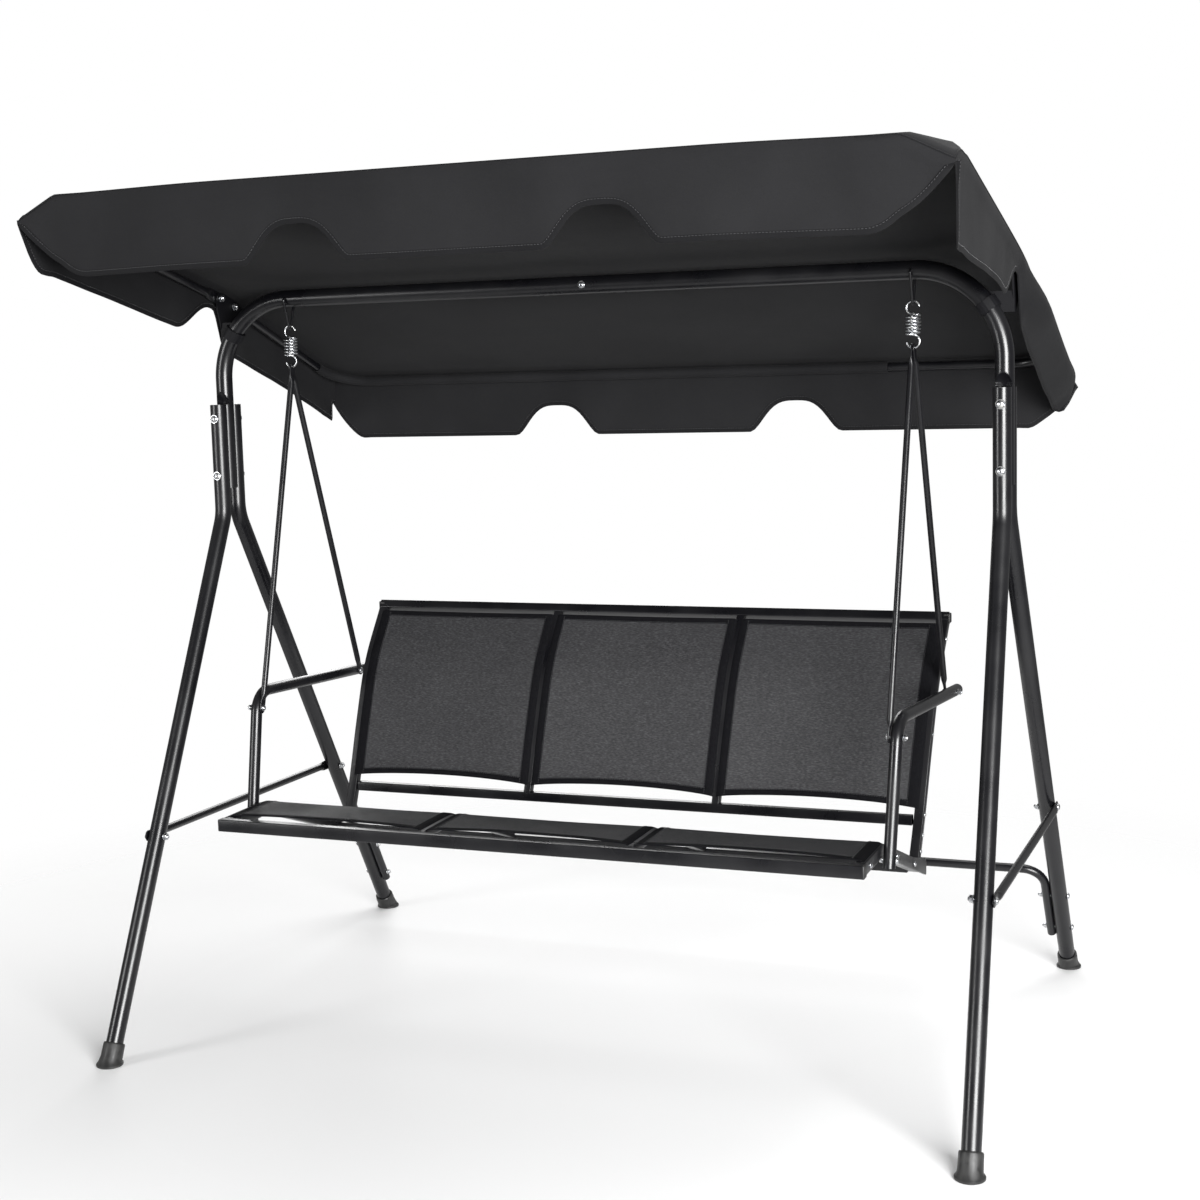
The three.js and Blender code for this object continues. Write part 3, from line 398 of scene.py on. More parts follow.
class Finish:
    """A procedural material, with short ways to add nodes to it. Most return the new node's output."""

    def __init__(self, name, colour, roughness, **sockets):
        self.material = bpy.data.materials.new(name)
        self.material.use_nodes = True
        self.nodes, self.links = self.material.node_tree.nodes, self.material.node_tree.links
        self.shader = self.nodes["Principled BSDF"]
        self.shader.inputs["Base Color"].default_value = (*colour, 1)
        self.shader.inputs["Roughness"].default_value = roughness
        for socket, value in sockets.items():
            title = socket.replace("_", " ").title().replace("Ior", "IOR")
            self.shader.inputs[title].default_value = value

    def set(self, socket, value):
        """Lets a value drive one of the shader's inputs."""
        self.links.new(value, self.shader.inputs[socket])

    def noise(self, scale, detail=3.0, stretch=(1, 1, 1)):
        """Noise fixed to the object."""
        place = self.nodes.new("ShaderNodeTexCoord")
        mapping = self.nodes.new("ShaderNodeMapping")
        mapping.inputs["Scale"].default_value = stretch
        cloud = self.nodes.new("ShaderNodeTexNoise")
        cloud.inputs["Scale"].default_value = scale
        cloud.inputs["Detail"].default_value = detail
        self.links.new(place.outputs["Object"], mapping.inputs["Vector"])
        self.links.new(mapping.outputs["Vector"], cloud.inputs["Vector"])
        return cloud.outputs["Fac"]

    def spread(self, value, low, high, out_low, out_high):
        """Maps a value's range to another."""
        node = self.nodes.new("ShaderNodeMapRange")
        ranges = (("From Min", low), ("From Max", high), ("To Min", out_low), ("To Max", out_high))
        for title, number in ranges:
            node.inputs[title].default_value = number
        self.links.new(value, node.inputs["Value"])
        return node.outputs["Result"]

    def roughen(self, value, smoothest, roughest, low=0.3, high=0.7):
        """Lets a value set the roughness."""
        self.set("Roughness", self.spread(value, low, high, smoothest, roughest))

    def ramp(self, value, stops):
        """Colours a value. stops are (position, colour) pairs."""
        node = self.nodes.new("ShaderNodeValToRGB")
        elements = node.color_ramp.elements
        elements[0].position, elements[0].color = stops[0][0], (*stops[0][1], 1)
        elements[1].position, elements[1].color = stops[-1][0], (*stops[-1][1], 1)
        for position, colour in stops[1:-1]:
            elements.new(position).color = (*colour, 1)
        self.links.new(value, node.inputs["Fac"])
        return node.outputs["Color"]

    def colour(self, value, stops):
        """Lets a value set the colour."""
        self.set("Base Color", self.ramp(value, stops))

    def multiplied(self, colour, shade, share):
        """A colour multiplied by a shade, at a share of full strength."""
        node = self.nodes.new("ShaderNodeMix")
        node.data_type, node.blend_type = "RGBA", "MULTIPLY"
        node.inputs["Factor"].default_value = share
        self.links.new(colour, node.inputs["A"])
        self.links.new(shade, node.inputs["B"])
        return node.outputs["Result"]

    def bump(self, height, strength, distance, before=None):
        """Adds relief over an earlier bump, if there is one."""
        node = self.nodes.new("ShaderNodeBump")
        node.inputs["Strength"].default_value = strength
        node.inputs["Distance"].default_value = distance
        self.links.new(height, node.inputs["Height"])
        if before:
            self.links.new(before, node.inputs["Normal"])
        self.set("Normal", node.outputs["Normal"])
        return node.outputs["Normal"]

    def calculate(self, operation, a, b=None):
        node = self.nodes.new("ShaderNodeMath")
        node.operation = operation
        for socket, value in zip(node.inputs, (a, b)):
            if isinstance(value, (int, float)):
                socket.default_value = value
            elif value is not None:
                self.links.new(value, socket)
        return node.outputs["Value"]

    def waves(self, pitch):
        """Sine waves along and across the flat cloth, one wave for a pitch."""
        place = self.nodes.new("ShaderNodeUVMap")
        place.uv_map = "cloth"
        split = self.nodes.new("ShaderNodeSeparateXYZ")
        self.links.new(place.outputs["UV"], split.inputs["Vector"])
        turns = [self.calculate("MULTIPLY", split.outputs[axis], 2 * math.pi / pitch) for axis in "XY"]
        return [self.calculate("SINE", turn) for turn in turns]

    def weave(self, pitch):
        """Threads going over and under each other, as a height from 0 to 1."""
        return self.calculate("MULTIPLY_ADD", self.calculate("MULTIPLY", *self.waves(pitch)), 0.5)

    def yarns(self, pitch):
        """Round yarns crossing, as a height from 0 to 1."""
        return self.calculate("MAXIMUM", *[self.calculate("ABSOLUTE", wave) for wave in self.waves(pitch)])


def powder_coat(name, smoothest, roughest, shine):
    """Black powder coat: cloudy gloss and colour over a faint orange peel."""
    finish = Finish(name, (0.004, 0.004, 0.005), roughest, specular_ior_level=shine)
    patches = finish.noise(9, 4)
    finish.roughen(patches, smoothest, roughest)
    finish.colour(patches, [(0.35, (0.003, 0.003, 0.004)), (0.75, (0.008, 0.008, 0.009))])
    finish.bump(finish.noise(420, 2), 0.006, 0.0003)
    return finish.material


def zinc_plate():
    """Bright zinc with faint cloudy passivation."""
    finish = Finish("zinc_plate", (0.72, 0.73, 0.75), 0.28, metallic=1.0)
    cloud = finish.noise(130, 4)
    finish.colour(cloud, [(0.3, (0.42, 0.43, 0.46)), (0.55, (0.58, 0.59, 0.60)), (0.8, (0.66, 0.64, 0.58))])
    finish.roughen(cloud, 0.2, 0.38)
    finish.bump(finish.noise(900, 2, (1, 1, 0.2)), 0.08, 0.0002)
    return finish.material


def moulded_plastic():
    """Black moulded plastic with a fine spark-eroded texture."""
    finish = Finish("moulded_plastic", (0.012, 0.012, 0.012), 0.5)
    scuffs = finish.noise(60, 5)
    finish.roughen(scuffs, 0.38, 0.62, low=0.35)
    finish.colour(scuffs, [(0.4, (0.010, 0.010, 0.010)), (0.8, (0.026, 0.026, 0.025))])
    finish.bump(finish.noise(1400, 2), 0.2, 0.0002)
    return finish.material


def polyester(name, light, dark, roughness=0.78):
    """Coated woven polyester: fine threads, a soft sheen, broad creases and a little dust."""
    finish = Finish(name, dark, roughness, sheen_weight=0.02, specular_ior_level=0.12)
    cloud = finish.noise(5.5, 5)
    dust = finish.ramp(finish.noise(700, 2), [(0.3, (0.55, 0.55, 0.55)), (0.7, (1.3, 1.3, 1.3))])
    clean = finish.ramp(cloud, [(0.3, dark), (0.75, light)])
    finish.set("Base Color", finish.multiplied(clean, dust, 0.35))
    finish.roughen(cloud, roughness - 0.06, roughness + 0.08)
    creases = finish.bump(finish.noise(16, 6), 0.25, 0.004)
    finish.bump(finish.weave(0.0011), 0.30, 0.0003, creases)
    return finish.material

YARN_PITCH = 0.0016


def sling_mesh():
    """Woven vinyl-coated mesh: round yarns, small holes between them and flecks of a paler yarn, with painted
    shade round the holes and a faint painted highlight on the yarn crowns.
    """
    finish = Finish("sling_mesh", (0.02, 0.02, 0.021), 0.55, specular_ior_level=0.3)
    yarns = finish.yarns(YARN_PITCH)
    flecks = finish.ramp(finish.noise(340, 3, (0.45, 1.6, 1.6)),
                         [(0.32, (0.014, 0.014, 0.015)), (0.52, (0.028, 0.028, 0.030)),
                          (0.72, (0.058, 0.058, 0.061))])
    # painted shade: the yarn colour is darkened towards the holes between the yarns, and lifted slightly on the
    # yarn crowns as a faint painted highlight
    painted_weave_shade = finish.ramp(yarns, [(0.2, (0.25, 0.25, 0.25)), (0.8, (1.1, 1.1, 1.1))])
    finish.set("Base Color", finish.multiplied(flecks, painted_weave_shade, 0.5))
    finish.roughen(finish.noise(9, 3), 0.48, 0.64)
    finish.set("Alpha", finish.spread(yarns, 0.26, 0.38, 0.0, 1.0))
    finish.bump(yarns, 0.6, 0.0004)
    return finish.material


def hem_cloth():
    """The same mesh doubled over: darker, with no light through it."""
    finish = Finish("sling_hem", (0.003, 0.003, 0.004), 0.75, specular_ior_level=0.06)
    flecks = finish.noise(420, 3)
    finish.colour(flecks, [(0.35, (0.002, 0.002, 0.003)), (0.7, (0.008, 0.008, 0.009))])
    finish.roughen(flecks, 0.65, 0.85)
    finish.bump(finish.yarns(YARN_PITCH), 0.5, 0.0004)
    return finish.material


def sewing_thread(name, colour):
    """Twisted thread with a soft sheen."""
    finish = Finish(name, colour, 0.6, sheen_weight=0.3)
    twist = finish.noise(1800, 2)
    finish.colour(twist, [(0.3, tuple(c * 0.6 for c in colour)), (0.7, colour)])
    finish.bump(twist, 0.3, 0.0002)
    return finish.material

PAINT = powder_coat("powder_coat", 0.24, 0.36, 0.44)
BRACKET_PAINT = powder_coat("bracket_powder_coat", 0.50, 0.62, 0.15)
ZINC = zinc_plate()
PLASTIC = moulded_plastic()
CANOPY = polyester("canopy_polyester", (0.0135, 0.0135, 0.0145), (0.0085, 0.0085, 0.0093))
BINDING = polyester("canopy_binding", (0.0070, 0.0070, 0.0078), (0.0040, 0.0040, 0.0046), 0.66)
SLING = sling_mesh()
HEM = hem_cloth()
THREAD = sewing_thread("black_thread", (0.030, 0.030, 0.033))


# ------------------------------------------------------------------ legs and feet


def leg_bend(side, end):
    return Vector((side * LEG_TOP_X, BAR_Y + end * LEG_TOP_Y, LEG_BEND_Z))


def leg_foot(side_name, end_name):
    return FEET[f"foot_{end_name}_{side_name}"]


def leg_at(side_name, side, end_name, end, z):
    return leg_foot(side_name, end_name).lerp(leg_bend(side, end), z / LEG_BEND_Z)


def make_leg(side_name, side, end_name, end):
    corners = [leg_at(side_name, side, end_name, end, 0.013), leg_bend(side, end),
               Vector((side * LEG_TOP_X, BAR_Y + end * LEG_TOP_Y, LEG_TOP_Z))]
    tube(f"leg_{end_name}_{side_name}", route(corners, 0.09), X_AXIS, LEG_R, "frame")


def make_foot(side_name, side, end_name, end):
    """A flared boot: a flat flange on the ground and a ribbed cup round the leg."""
    foot = leg_foot(side_name, end_name)
    direction = (leg_bend(side, end) - foot).normalized()
    levels = [(0.0, 0.0252, 0), (0.0012, 0.0265, 0), (0.0045, 0.0265, 0), (0.0062, 0.0252, 0),
              (0.0075, 0.0235, 0.15), (0.011, 0.0222, 0.5), (0.016, 0.0215, 1), (0.030, 0.0212, 1),
              (0.040, 0.0211, 1), (0.0425, 0.0206, 1), (0.0437, 0.0196, 1), (0.0437, LEG_R + 0.0007, 1),
              (0.034, LEG_R + 0.0007, 1)]
    sides = 48
    vertices = []
    tilt = Z_AXIS.rotation_difference(direction).to_matrix()
    for height, radius, share in levels:
        upright = foot + Z_AXIS * height
        slanted = foot + direction * height
        for k in range(sides):
            t = 2 * math.pi * k / sides
            rib = 0.0005 if share == 1 and radius > 0.0208 and k % 6 == 0 else 0.0
            spoke = Vector(((radius + rib) * math.cos(t), (radius + rib) * math.sin(t), 0))
            vertices.append((upright + spoke).lerp(slanted + tilt @ spoke, share))
    shell = Shell().add(vertices, skin(len(levels), sides))
    node = f"foot_cap_{end_name}_{side_name}"
    shell.piece(f"{node}_boot", "frame", "foot_plastic", [PLASTIC], [node])


def make_leg_bolts(side_name, side):
    for level, z in LEG_BOLT_ZS.items():
        head = Vector((side * LEG_TOP_X, BAR_Y - LEG_TOP_Y - LEG_R - 0.0003, z))
        node = f"leg_bolt_{level}_{side_name}"
        bolt(f"{node}_set", head, Y_AXIS, 2 * (LEG_TOP_Y + LEG_R + 0.0003), "frame", [node])


# ------------------------------------------------------------------ top bar

SADDLE_R = LEG_R + 0.0006
SCOOP_TOP = 0.026                             # how far the pressed hollow shows above the legs


def scooped(offset, sides=64):
    """The bar's round section, pressed in at front and back by a round tool whose axis lies at the offset."""
    points = []
    for i in range(sides):
        t = 2 * math.pi * i / sides
        tall = abs(math.sin(t))
        reach = BAR_R
        inside = (offset * tall) ** 2 - (offset ** 2 - SADDLE_R ** 2)
        if inside > 0:
            reach = min(reach, offset * tall - math.sqrt(inside))
        points.append((reach * math.cos(t), reach * math.sin(t)))
    return points


def scoop_offset(z):
    """Where the legs nest the tool lies on their axis. Above their tops it goes deeper, then runs out."""
    above = z - LEG_TOP_Z
    if above < 0:
        return LEG_TOP_Y
    nest = LEG_TOP_Y + (0.0205 - LEG_TOP_Y) * smooth(0, 0.002, above)
    return nest + (BAR_R + SADDLE_R - 0.0205) * (above / SCOOP_TOP) ** 2


def make_top_bar(side_name, side):
    start = BAR_SEAM_X if side > 0 else -BAR_SEAM_X
    near = BAR_SEAM_X + 0.0002 if side > 0 else BAR_SEAM_X
    corners = [Vector((near, BAR_Y, BAR_Z)), Vector((side * LEG_TOP_X, BAR_Y, BAR_Z)),
               Vector((side * LEG_TOP_X, BAR_Y, BAR_END_Z))]
    points = route(corners, BAR_BEND, 40)
    points = points[:-1] + divided(points[-2:], 0.0015)[1:]

    def section(i):
        return [(q, p) for p, q in scooped(scoop_offset(points[i].z))][::-1]

    shell = sweep(Shell(), points, Y_AXIS, section, wall=THICK_WALL)
    if side > 0:
        collar = [(BAR_R - 0.0016, 0), (BAR_R - 0.0016, 0.060), (0, 0.060)]
        turned(shell, [(0, 0)] + collar, Vector((-start, BAR_Y, BAR_Z)), X_AXIS, 32)
    shell.piece(f"top_bar_{side_name}_tube", "frame", "frame_paint", [PAINT], [f"top_bar_{side_name}"])


# ------------------------------------------------------------------ braces


def make_side_brace(side_name, side):
    ends = [leg_at(side_name, side, end_name, end, BRACE_Z) for end_name, end in (("front", -1), ("rear", 1))]
    half = 0.0018
    x = side * (abs(ends[0].x) + LEG_R + 0.0003 + half)
    corners = [Vector((x, ends[0].y - 0.014, BRACE_Z)), Vector((x, ends[1].y + 0.014, BRACE_Z))]
    brace = f"side_brace_{side_name}"
    flat_ended(f"{brace}_tube", brace, corners, Z_AXIS, BRACE_R, half, 0.030, 0.022, "frame")
    for end_name, at in zip(("front", "rear"), ends):
        outside = abs(at.x) + LEG_R + 0.0006 + 2 * half
        inside = abs(at.x) - LEG_R - 0.0003
        node = f"brace_bolt_{end_name}_{side_name}"
        bolt(f"{node}_set", Vector((side * outside, at.y, at.z)), X_AXIS * -side, outside - inside, "frame",
             [node], head_radius=0.007, head_height=0.004)


def make_crossbar():
    inset = LEG_R + CROSSBAR_R + 0.0003

    def beside(side_name, side, z):
        point = leg_at(side_name, side, "rear", 1, z)
        return point - X_AXIS * side * inset

    corners = [beside("left", -1, CROSSBAR_END_Z), beside("left", -1, CROSSBAR_Z),
               beside("right", 1, CROSSBAR_Z), beside("right", 1, CROSSBAR_END_Z)]
    tube("rear_crossbar", route(corners, 0.045, 20), Y_AXIS, CROSSBAR_R, "frame", THIN_WALL)
    for side_name, side in SIDES:
        for level, z in (("upper", 0.194), ("lower", 0.111)):
            leg = leg_at(side_name, side, "rear", 1, z)
            head = leg + X_AXIS * side * (LEG_R + 0.0004)
            grip = 2 * LEG_R + 2 * CROSSBAR_R + 0.0010
            bolt(f"crossbar_bolt_{level}_{side_name}", head, X_AXIS * -side, grip, "frame", radius=0.0032,
                 head_radius=0.0065, head_height=0.0036)


# ------------------------------------------------------------------ hangers and springs


def make_stirrup(side_name, side):
    """The wire loop that the spring's top hook rocks on."""
    x = side * HANGER_X
    wire = 0.00275
    bend = wire + SPRING_WIRE_R + 0.0003
    shoulder = 0.0235
    apex = PIVOT_Z - bend / math.sin(math.atan(shoulder / (BAR_Z - PIVOT_Z + 0.019)))
    outline = ((-0.012, BAR_Z), (-shoulder, BAR_Z), (0, apex), (shoulder, BAR_Z), (0.012, BAR_Z))
    corners = [Vector((x, BAR_Y + y, z)) for y, z in outline]
    shell = sweep(Shell(), route(corners, bend, 12), X_AXIS, lambda i: circle(wire, 18))
    node = f"hanger_stirrup_{side_name}"
    shell.piece(f"{node}_wire", "frame", "frame_paint", [PAINT], [node])


def spring_line(x):
    """The wire's middle: an open hook, the coil and a second open hook, turned the other way."""
    coil_top = PIVOT_Z - 2 * SPRING_HOOK_R
    coil_bottom = coil_top - SPRING_TURNS * SPRING_PITCH
    points = []
    for angle in range(8, 251, 8):
        t = math.radians(angle)
        points.append(Vector((x + SPRING_HOOK_R * math.cos(t), BAR_Y,
                              coil_top + SPRING_HOOK_R * (1 + math.sin(t)))))
    per_turn = 28
    for i in range(2, SPRING_TURNS * per_turn - 1):
        t = 2 * math.pi * i / per_turn - math.pi / 2
        points.append(Vector((x + SPRING_COIL_R * math.cos(t), BAR_Y + SPRING_COIL_R * math.sin(t),
                              coil_top + (coil_bottom - coil_top) * i / (SPRING_TURNS * per_turn))))
    for angle in range(70, -173, -8):
        t = math.radians(angle)
        points.append(Vector((x + SPRING_HOOK_R * math.cos(t), BAR_Y,
                              coil_bottom - SPRING_HOOK_R * (1 - math.sin(t)))))
    for _ in range(3):
        softened = [(a + 2 * b + c) / 4 for a, b, c in zip(points, points[1:], points[2:])]
        points = [points[0]] + softened + [points[-1]]
    return points


def wire_skin(shell, points, radius, sides=12):
    """Skins a winding wire. Each ring is turned as little as it can be from the last."""
    vertices = []
    across = None
    for i, point in enumerate(points):
        tangent = (points[min(i + 1, len(points) - 1)] - points[max(i - 1, 0)]).normalized()
        across = tangent.orthogonal() if across is None else across - tangent * across.dot(tangent)
        across.normalize()
        up = tangent.cross(across)
        share = 0.75 if i in (0, len(points) - 1) else 1.0
        vertices += [point + (across * p + up * q) * share for p, q in circle(radius, sides)]
    return shell.add(vertices, skin(len(points), sides))


def make_spring(side_name, side):
    x = side * HANGER_X
    shell = wire_skin(Shell(), spring_line(x), SPRING_WIRE_R)
    spring = shell.piece(f"spring_{side_name}_wire", "springs", "zinc", [ZINC], [f"spring_{side_name}"],
                         crease=60, ride=False)
    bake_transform(spring)


# ------------------------------------------------------------------ armrests and hanger rods


def between(a, b, axis, value):
    return a.lerp(b, (value - a[axis]) / (b[axis] - a[axis]))


ROD_FEET = {"front": between(ARM_CORNERS[0], ARM_CORNERS[1], 2, 0.672),
            "rear": between(ARM_CORNERS[1], ARM_CORNERS[2], 1, BAR_Y + 0.247)}
ROD_HALF = 0.0016
ARM_BOLT = {"radius": 0.0032, "head_radius": 0.0062, "head_height": 0.0034}


def mirrored(point, side):
    return Vector((side * point.x, point.y, point.z))


def make_armrest(side_name, side):
    corners = [mirrored(corner, side) for corner in ARM_CORNERS]
    tube(f"armrest_{side_name}", route(corners, ARM_BEND, 20), X_AXIS, ARM_R, "seat", THIN_WALL)
    for end_name in ("front", "rear"):
        foot = mirrored(ROD_FEET[end_name], side)
        head = foot - X_AXIS * side * (ARM_R + 0.0006 + 2 * ROD_HALF)
        bolt(f"rod_bolt_{end_name}_{side_name}", head, X_AXIS * side, 2 * ARM_R + 0.0009 + 2 * ROD_HALF,
             "seat", **ARM_BOLT)
    low = corners[0].lerp(corners[1], 0.055)
    bolt(f"arm_foot_bolt_{side_name}", low + X_AXIS * side * (ARM_R + 0.0004), X_AXIS * -side,
         2 * ARM_R + 0.0008, "seat", **ARM_BOLT)


def make_hanger_rod(side_name, side, end_name, end):
    at = mirrored(ROD_FEET[end_name], side)
    low = at - X_AXIS * side * (ARM_R + 0.0006 + ROD_HALF)
    eye = Vector((side * (HANGER_X + end * (ROD_HALF + 0.0003)), BAR_Y, ROD_EYE_Z))
    direction = (eye - low).normalized()
    node = f"hanger_rod_{end_name}_{side_name}"
    side_way = X_AXIS.cross(direction).normalized()
    ends = [low - direction * 0.011, eye + direction * 0.009]
    flat_ended(f"{node}_tube", node, ends, side_way, ROD_R, ROD_HALF, 0.024, 0.018, "seat")


# ------------------------------------------------------------------ seat frame

FRONT_PITCH = math.atan2(SEAT_KNEE[1] - SEAT_FRONT_Z, SEAT_KNEE[0] - SEAT_FRONT_Y)
REAR_PITCH = -math.atan(SEAT_SLOPE)


def seat_top(y):
    return SEAT_KNEE[1] + math.tan(FRONT_PITCH if y < SEAT_KNEE[0] else REAR_PITCH) * (y - SEAT_KNEE[0])


def seat_line(x, from_y, to_y, depth, steps=16):
    """The line that stays a depth below the seat's top, level in front of the knee and falling behind it."""
    middle_pitch = (FRONT_PITCH + REAR_PITCH) / 2
    reach = depth / math.cos((FRONT_PITCH - REAR_PITCH) / 2)
    knee_y, knee_z = SEAT_KNEE
    corners = [Vector((x, from_y, seat_top(from_y) - depth / math.cos(FRONT_PITCH))),
               Vector((x, knee_y + reach * math.sin(middle_pitch), knee_z - reach * math.cos(middle_pitch))),
               Vector((x, to_y, seat_top(to_y) - depth / math.cos(REAR_PITCH)))]
    return route(corners, SEAT_KNEE_BEND - depth, steps)


def cross_line(half_length, y, z):
    return [Vector((-half_length, y, z)), Vector((half_length, y, z))]


def end_plug(name, at, side, width, height):
    """The domed plastic plug in a rail's open end."""
    shrink = ((-0.010, 0.86), (0.0, 0.86), (0.0001, 1.0), (0.0012, 1.0), (0.0022, 0.94), (0.0027, 0.80))
    outward = X_AXIS * side
    points = [at + outward * step for step, _ in shrink]
    shell = sweep(Shell(), points, Z_AXIS.cross(outward),
                  lambda i: rounded(width * shrink[i][1], height * shrink[i][1], 0.0018))
    return shell.piece(name, "seat", "foot_plastic", [PLASTIC])


def plate_solid(shell, outline, x0, x1, bevel=0.0006):
    """An upright plate square to X. outline is (y, z) pairs."""
    n = len(outline)
    centre = (sum(y for y, _ in outline) / n, sum(z for _, z in outline) / n)
    step = math.copysign(bevel, x1 - x0)
    levels = ((x0, bevel), (x0 + step, 0), (x1 - step, 0), (x1, bevel))
    vertices = []
    for x, inset in levels:
        for y, z in outline:
            away = Vector((y - centre[0], z - centre[1]))
            away *= 1 - inset / away.length
            vertices.append(Vector((x, centre[0] + away.x, centre[1] + away.y)))
    return shell.add(vertices, skin(len(levels), n))


def round_outline(corners, radius, steps=5):
    """A closed outline with its corners rounded: (a, b) pairs in and out."""
    points = []
    n = len(corners)
    for i, corner in enumerate(corners):
        here = Vector(corner)
        before, after = Vector(corners[i - 1]) - here, Vector(corners[(i + 1) % n]) - here
        reach = min(radius, before.length * 0.45, after.length * 0.45)
        start, finish = here + before.normalized() * reach, here + after.normalized() * reach
        for k in range(steps + 1):
            t = k / steps
            points.append((start.lerp(here, t)).lerp(here.lerp(finish, t), t))
    return [(p.x, p.y) for p in points]


BACK_FOOT_Z = 0.360
PLATE_FRONT, PLATE_REAR = BAR_Y + 0.020, BAR_Y + 0.141
PLATE_INNER, PLATE_OUTER = 0.6415, 0.6465     # the plates' faces, from the middle


def make_side_rail(side_name, side):
    """A side rail, and the plate beside its rear end that the back stands on."""
    x = side * (SEAT_HALF - RAIL_W / 2)
    line = seat_line(x, SEAT_FRONT_Y + RAIL_W, SEAT_REAR_Y + RAIL_W / 2, RAIL_H / 2)
    shell = sweep(Shell(), line, X_AXIS, lambda i: rounded(RAIL_W, RAIL_H), wall=THICK_WALL)
    top = seat_top(PLATE_FRONT)
    outline = [(PLATE_FRONT, top - 0.001), (PLATE_FRONT, top - RAIL_H), (PLATE_REAR, BACK_FOOT_Z - 0.028),
               (PLATE_REAR, BACK_FOOT_Z + 0.006)]
    plate_solid(shell, round_outline(outline, 0.008), side * PLATE_INNER, side * PLATE_OUTER)
    node = f"seat_side_rail_{side_name}"
    shell.piece(f"{node}_tube", "seat", "frame_paint", [PAINT], [node])


def make_seat_frame():
    front_y, front_z = SEAT_FRONT_Y + RAIL_W / 2, SEAT_FRONT_Z - RAIL_H / 2
    rear_z = seat_top(SEAT_REAR_Y) - RAIL_H / 2 - 0.004
    rear_line = cross_line(SEAT_HALF - RAIL_W - 0.0003, SEAT_REAR_Y - 0.004, rear_z)
    rail("seat_front_rail", cross_line(SEAT_HALF, front_y, front_z), Y_AXIS, RAIL_W, RAIL_H)
    rail("seat_rear_rail", rear_line, Y_AXIS, RIB_W, RAIL_W)
    for side_name, side in SIDES:
        make_side_rail(side_name, side)
        rib = seat_line(side * RIB_X, SEAT_FRONT_Y + RAIL_W, SEAT_REAR_Y - 0.010 - RIB_W / 2, RIB_W / 2)
        rail(f"seat_rib_{side_name}", rib, X_AXIS, RIB_W, RIB_W)
        front_end = Vector((side * SEAT_HALF, front_y, front_z))
        end_plug(f"front_rail_plug_{side_name}", front_end, side, RAIL_W, RAIL_H)
        for index, y in enumerate((BAR_Y - 0.320, BAR_Y - 0.113, BAR_Y + 0.034)):
            outside = side * (PLATE_OUTER + 0.0002 if y > PLATE_FRONT else SEAT_HALF + 0.0002)
            place = Vector((outside, y, seat_top(y) - RAIL_H / 2 / math.cos(math.atan(SEAT_SLOPE))))
            screw(f"side_rail_bolt_{index + 1}_{side_name}", place, X_AXIS * -side, 0.0055, 0.0034)

# ------------------------------------------------------------------ back frame

BACK_KNOTS = [(0.104, 0.360), (0.148, 0.455), (0.198, 0.580), (0.254, 0.700), (0.336, 0.806)]
BACK_DEPTH = 0.018
BACK_SPLAY = (0.630, 0.644)                   # the side rails' distance from the middle, low and high


def back_curve():
    """A smooth line through the knots, with points at even distances."""
    knots = [Vector((0, BAR_Y + y, z)) for y, z in BACK_KNOTS]
    knots = [2 * knots[0] - knots[1]] + knots + [2 * knots[-1] - knots[-2]]
    fine = []
    for a, b, c, d in zip(knots, knots[1:], knots[2:], knots[3:]):
        for k in range(24):
            t = k / 24
            fine.append(0.5 * (2 * b + (c - a) * t + (2 * a - 5 * b + 4 * c - d) * t ** 2
                               + (3 * b - a - 3 * c + d) * t ** 3))
    fine.append(knots[-2])
    length = sum((b - a).length for a, b in zip(fine, fine[1:]))
    return [along_line(fine, length * k / 200) for k in range(201)]


BACK_LINE = back_curve()


def back_at(t):
    """The point of the back rails' line at a share of its length."""
    place = min(max(t, 0.0), 1.0) * 200
    i = min(int(place), 199)
    return BACK_LINE[i].lerp(BACK_LINE[i + 1], place - i)


def back_forward(t):
    """The direction square to the back, towards the sitter."""
    along = (back_at(t + 0.02) - back_at(t - 0.02)).normalized()
    return Vector((0, -along.z, along.y))


def back_points(x_low, x_high, start, steps=28):
    """A rail's line up the back, ending inside the top rail."""
    points = []
    for i in range(steps + 1):
        t = start + (1 - start) * i / steps
        place = back_at(t)
        points.append(Vector((x_low + (x_high - x_low) * t, place.y, place.z)))
    return points + [points[-1] + (points[-1] - points[-2]).normalized() * 0.008]


def make_back_frame():
    top, bottom = middle("back_top_rail"), middle("back_bottom_rail")
    low, high = BACK_SPLAY
    rail("back_top_rail", cross_line(high + RAIL_W / 2, top.y, top.z), back_forward(1), RAIL_W, RAIL_W)
    rail("back_bottom_rail", cross_line(low - RAIL_W / 2 - 0.001, bottom.y, bottom.z), Y_AXIS, RIB_W, RAIL_W)
    for side_name, side in SIDES:
        line = back_points(side * low, side * high, 0)
        rail(f"back_side_rail_{side_name}", line, X_AXIS, RAIL_W, BACK_DEPTH)
        line = back_points(side * RIB_X, side * RIB_X, 0.19)
        rail(f"back_rib_{side_name}", line, X_AXIS, RIB_W, BACK_DEPTH)
        top_end = Vector((side * (high + RAIL_W / 2), top.y, top.z))
        end_plug(f"back_rail_plug_{side_name}", top_end, side, RAIL_W, RAIL_W)
        for index, t in enumerate((0.055, 0.12, 0.20, 0.52, 0.66, 0.93)):
            head = Vector((side * (low + (high - low) * t + RAIL_W / 2), back_at(t).y, back_at(t).z))
            screw(f"back_screw_{index + 1}_{side_name}", head, X_AXIS * -side, 0.0042)

# ------------------------------------------------------------------ slings

END_HEM = 0.014
OUTER_HEM, INNER_HEM = 0.025, 0.020
PANELS = (("left", -SEAT_HALF + 0.004, -RIB_X - 0.004, (OUTER_HEM, INNER_HEM)),
          ("middle", -RIB_X + 0.004, RIB_X - 0.004, (INNER_HEM, INNER_HEM)),
          ("right", RIB_X + 0.004, SEAT_HALF - 0.004, (INNER_HEM, OUTER_HEM)))


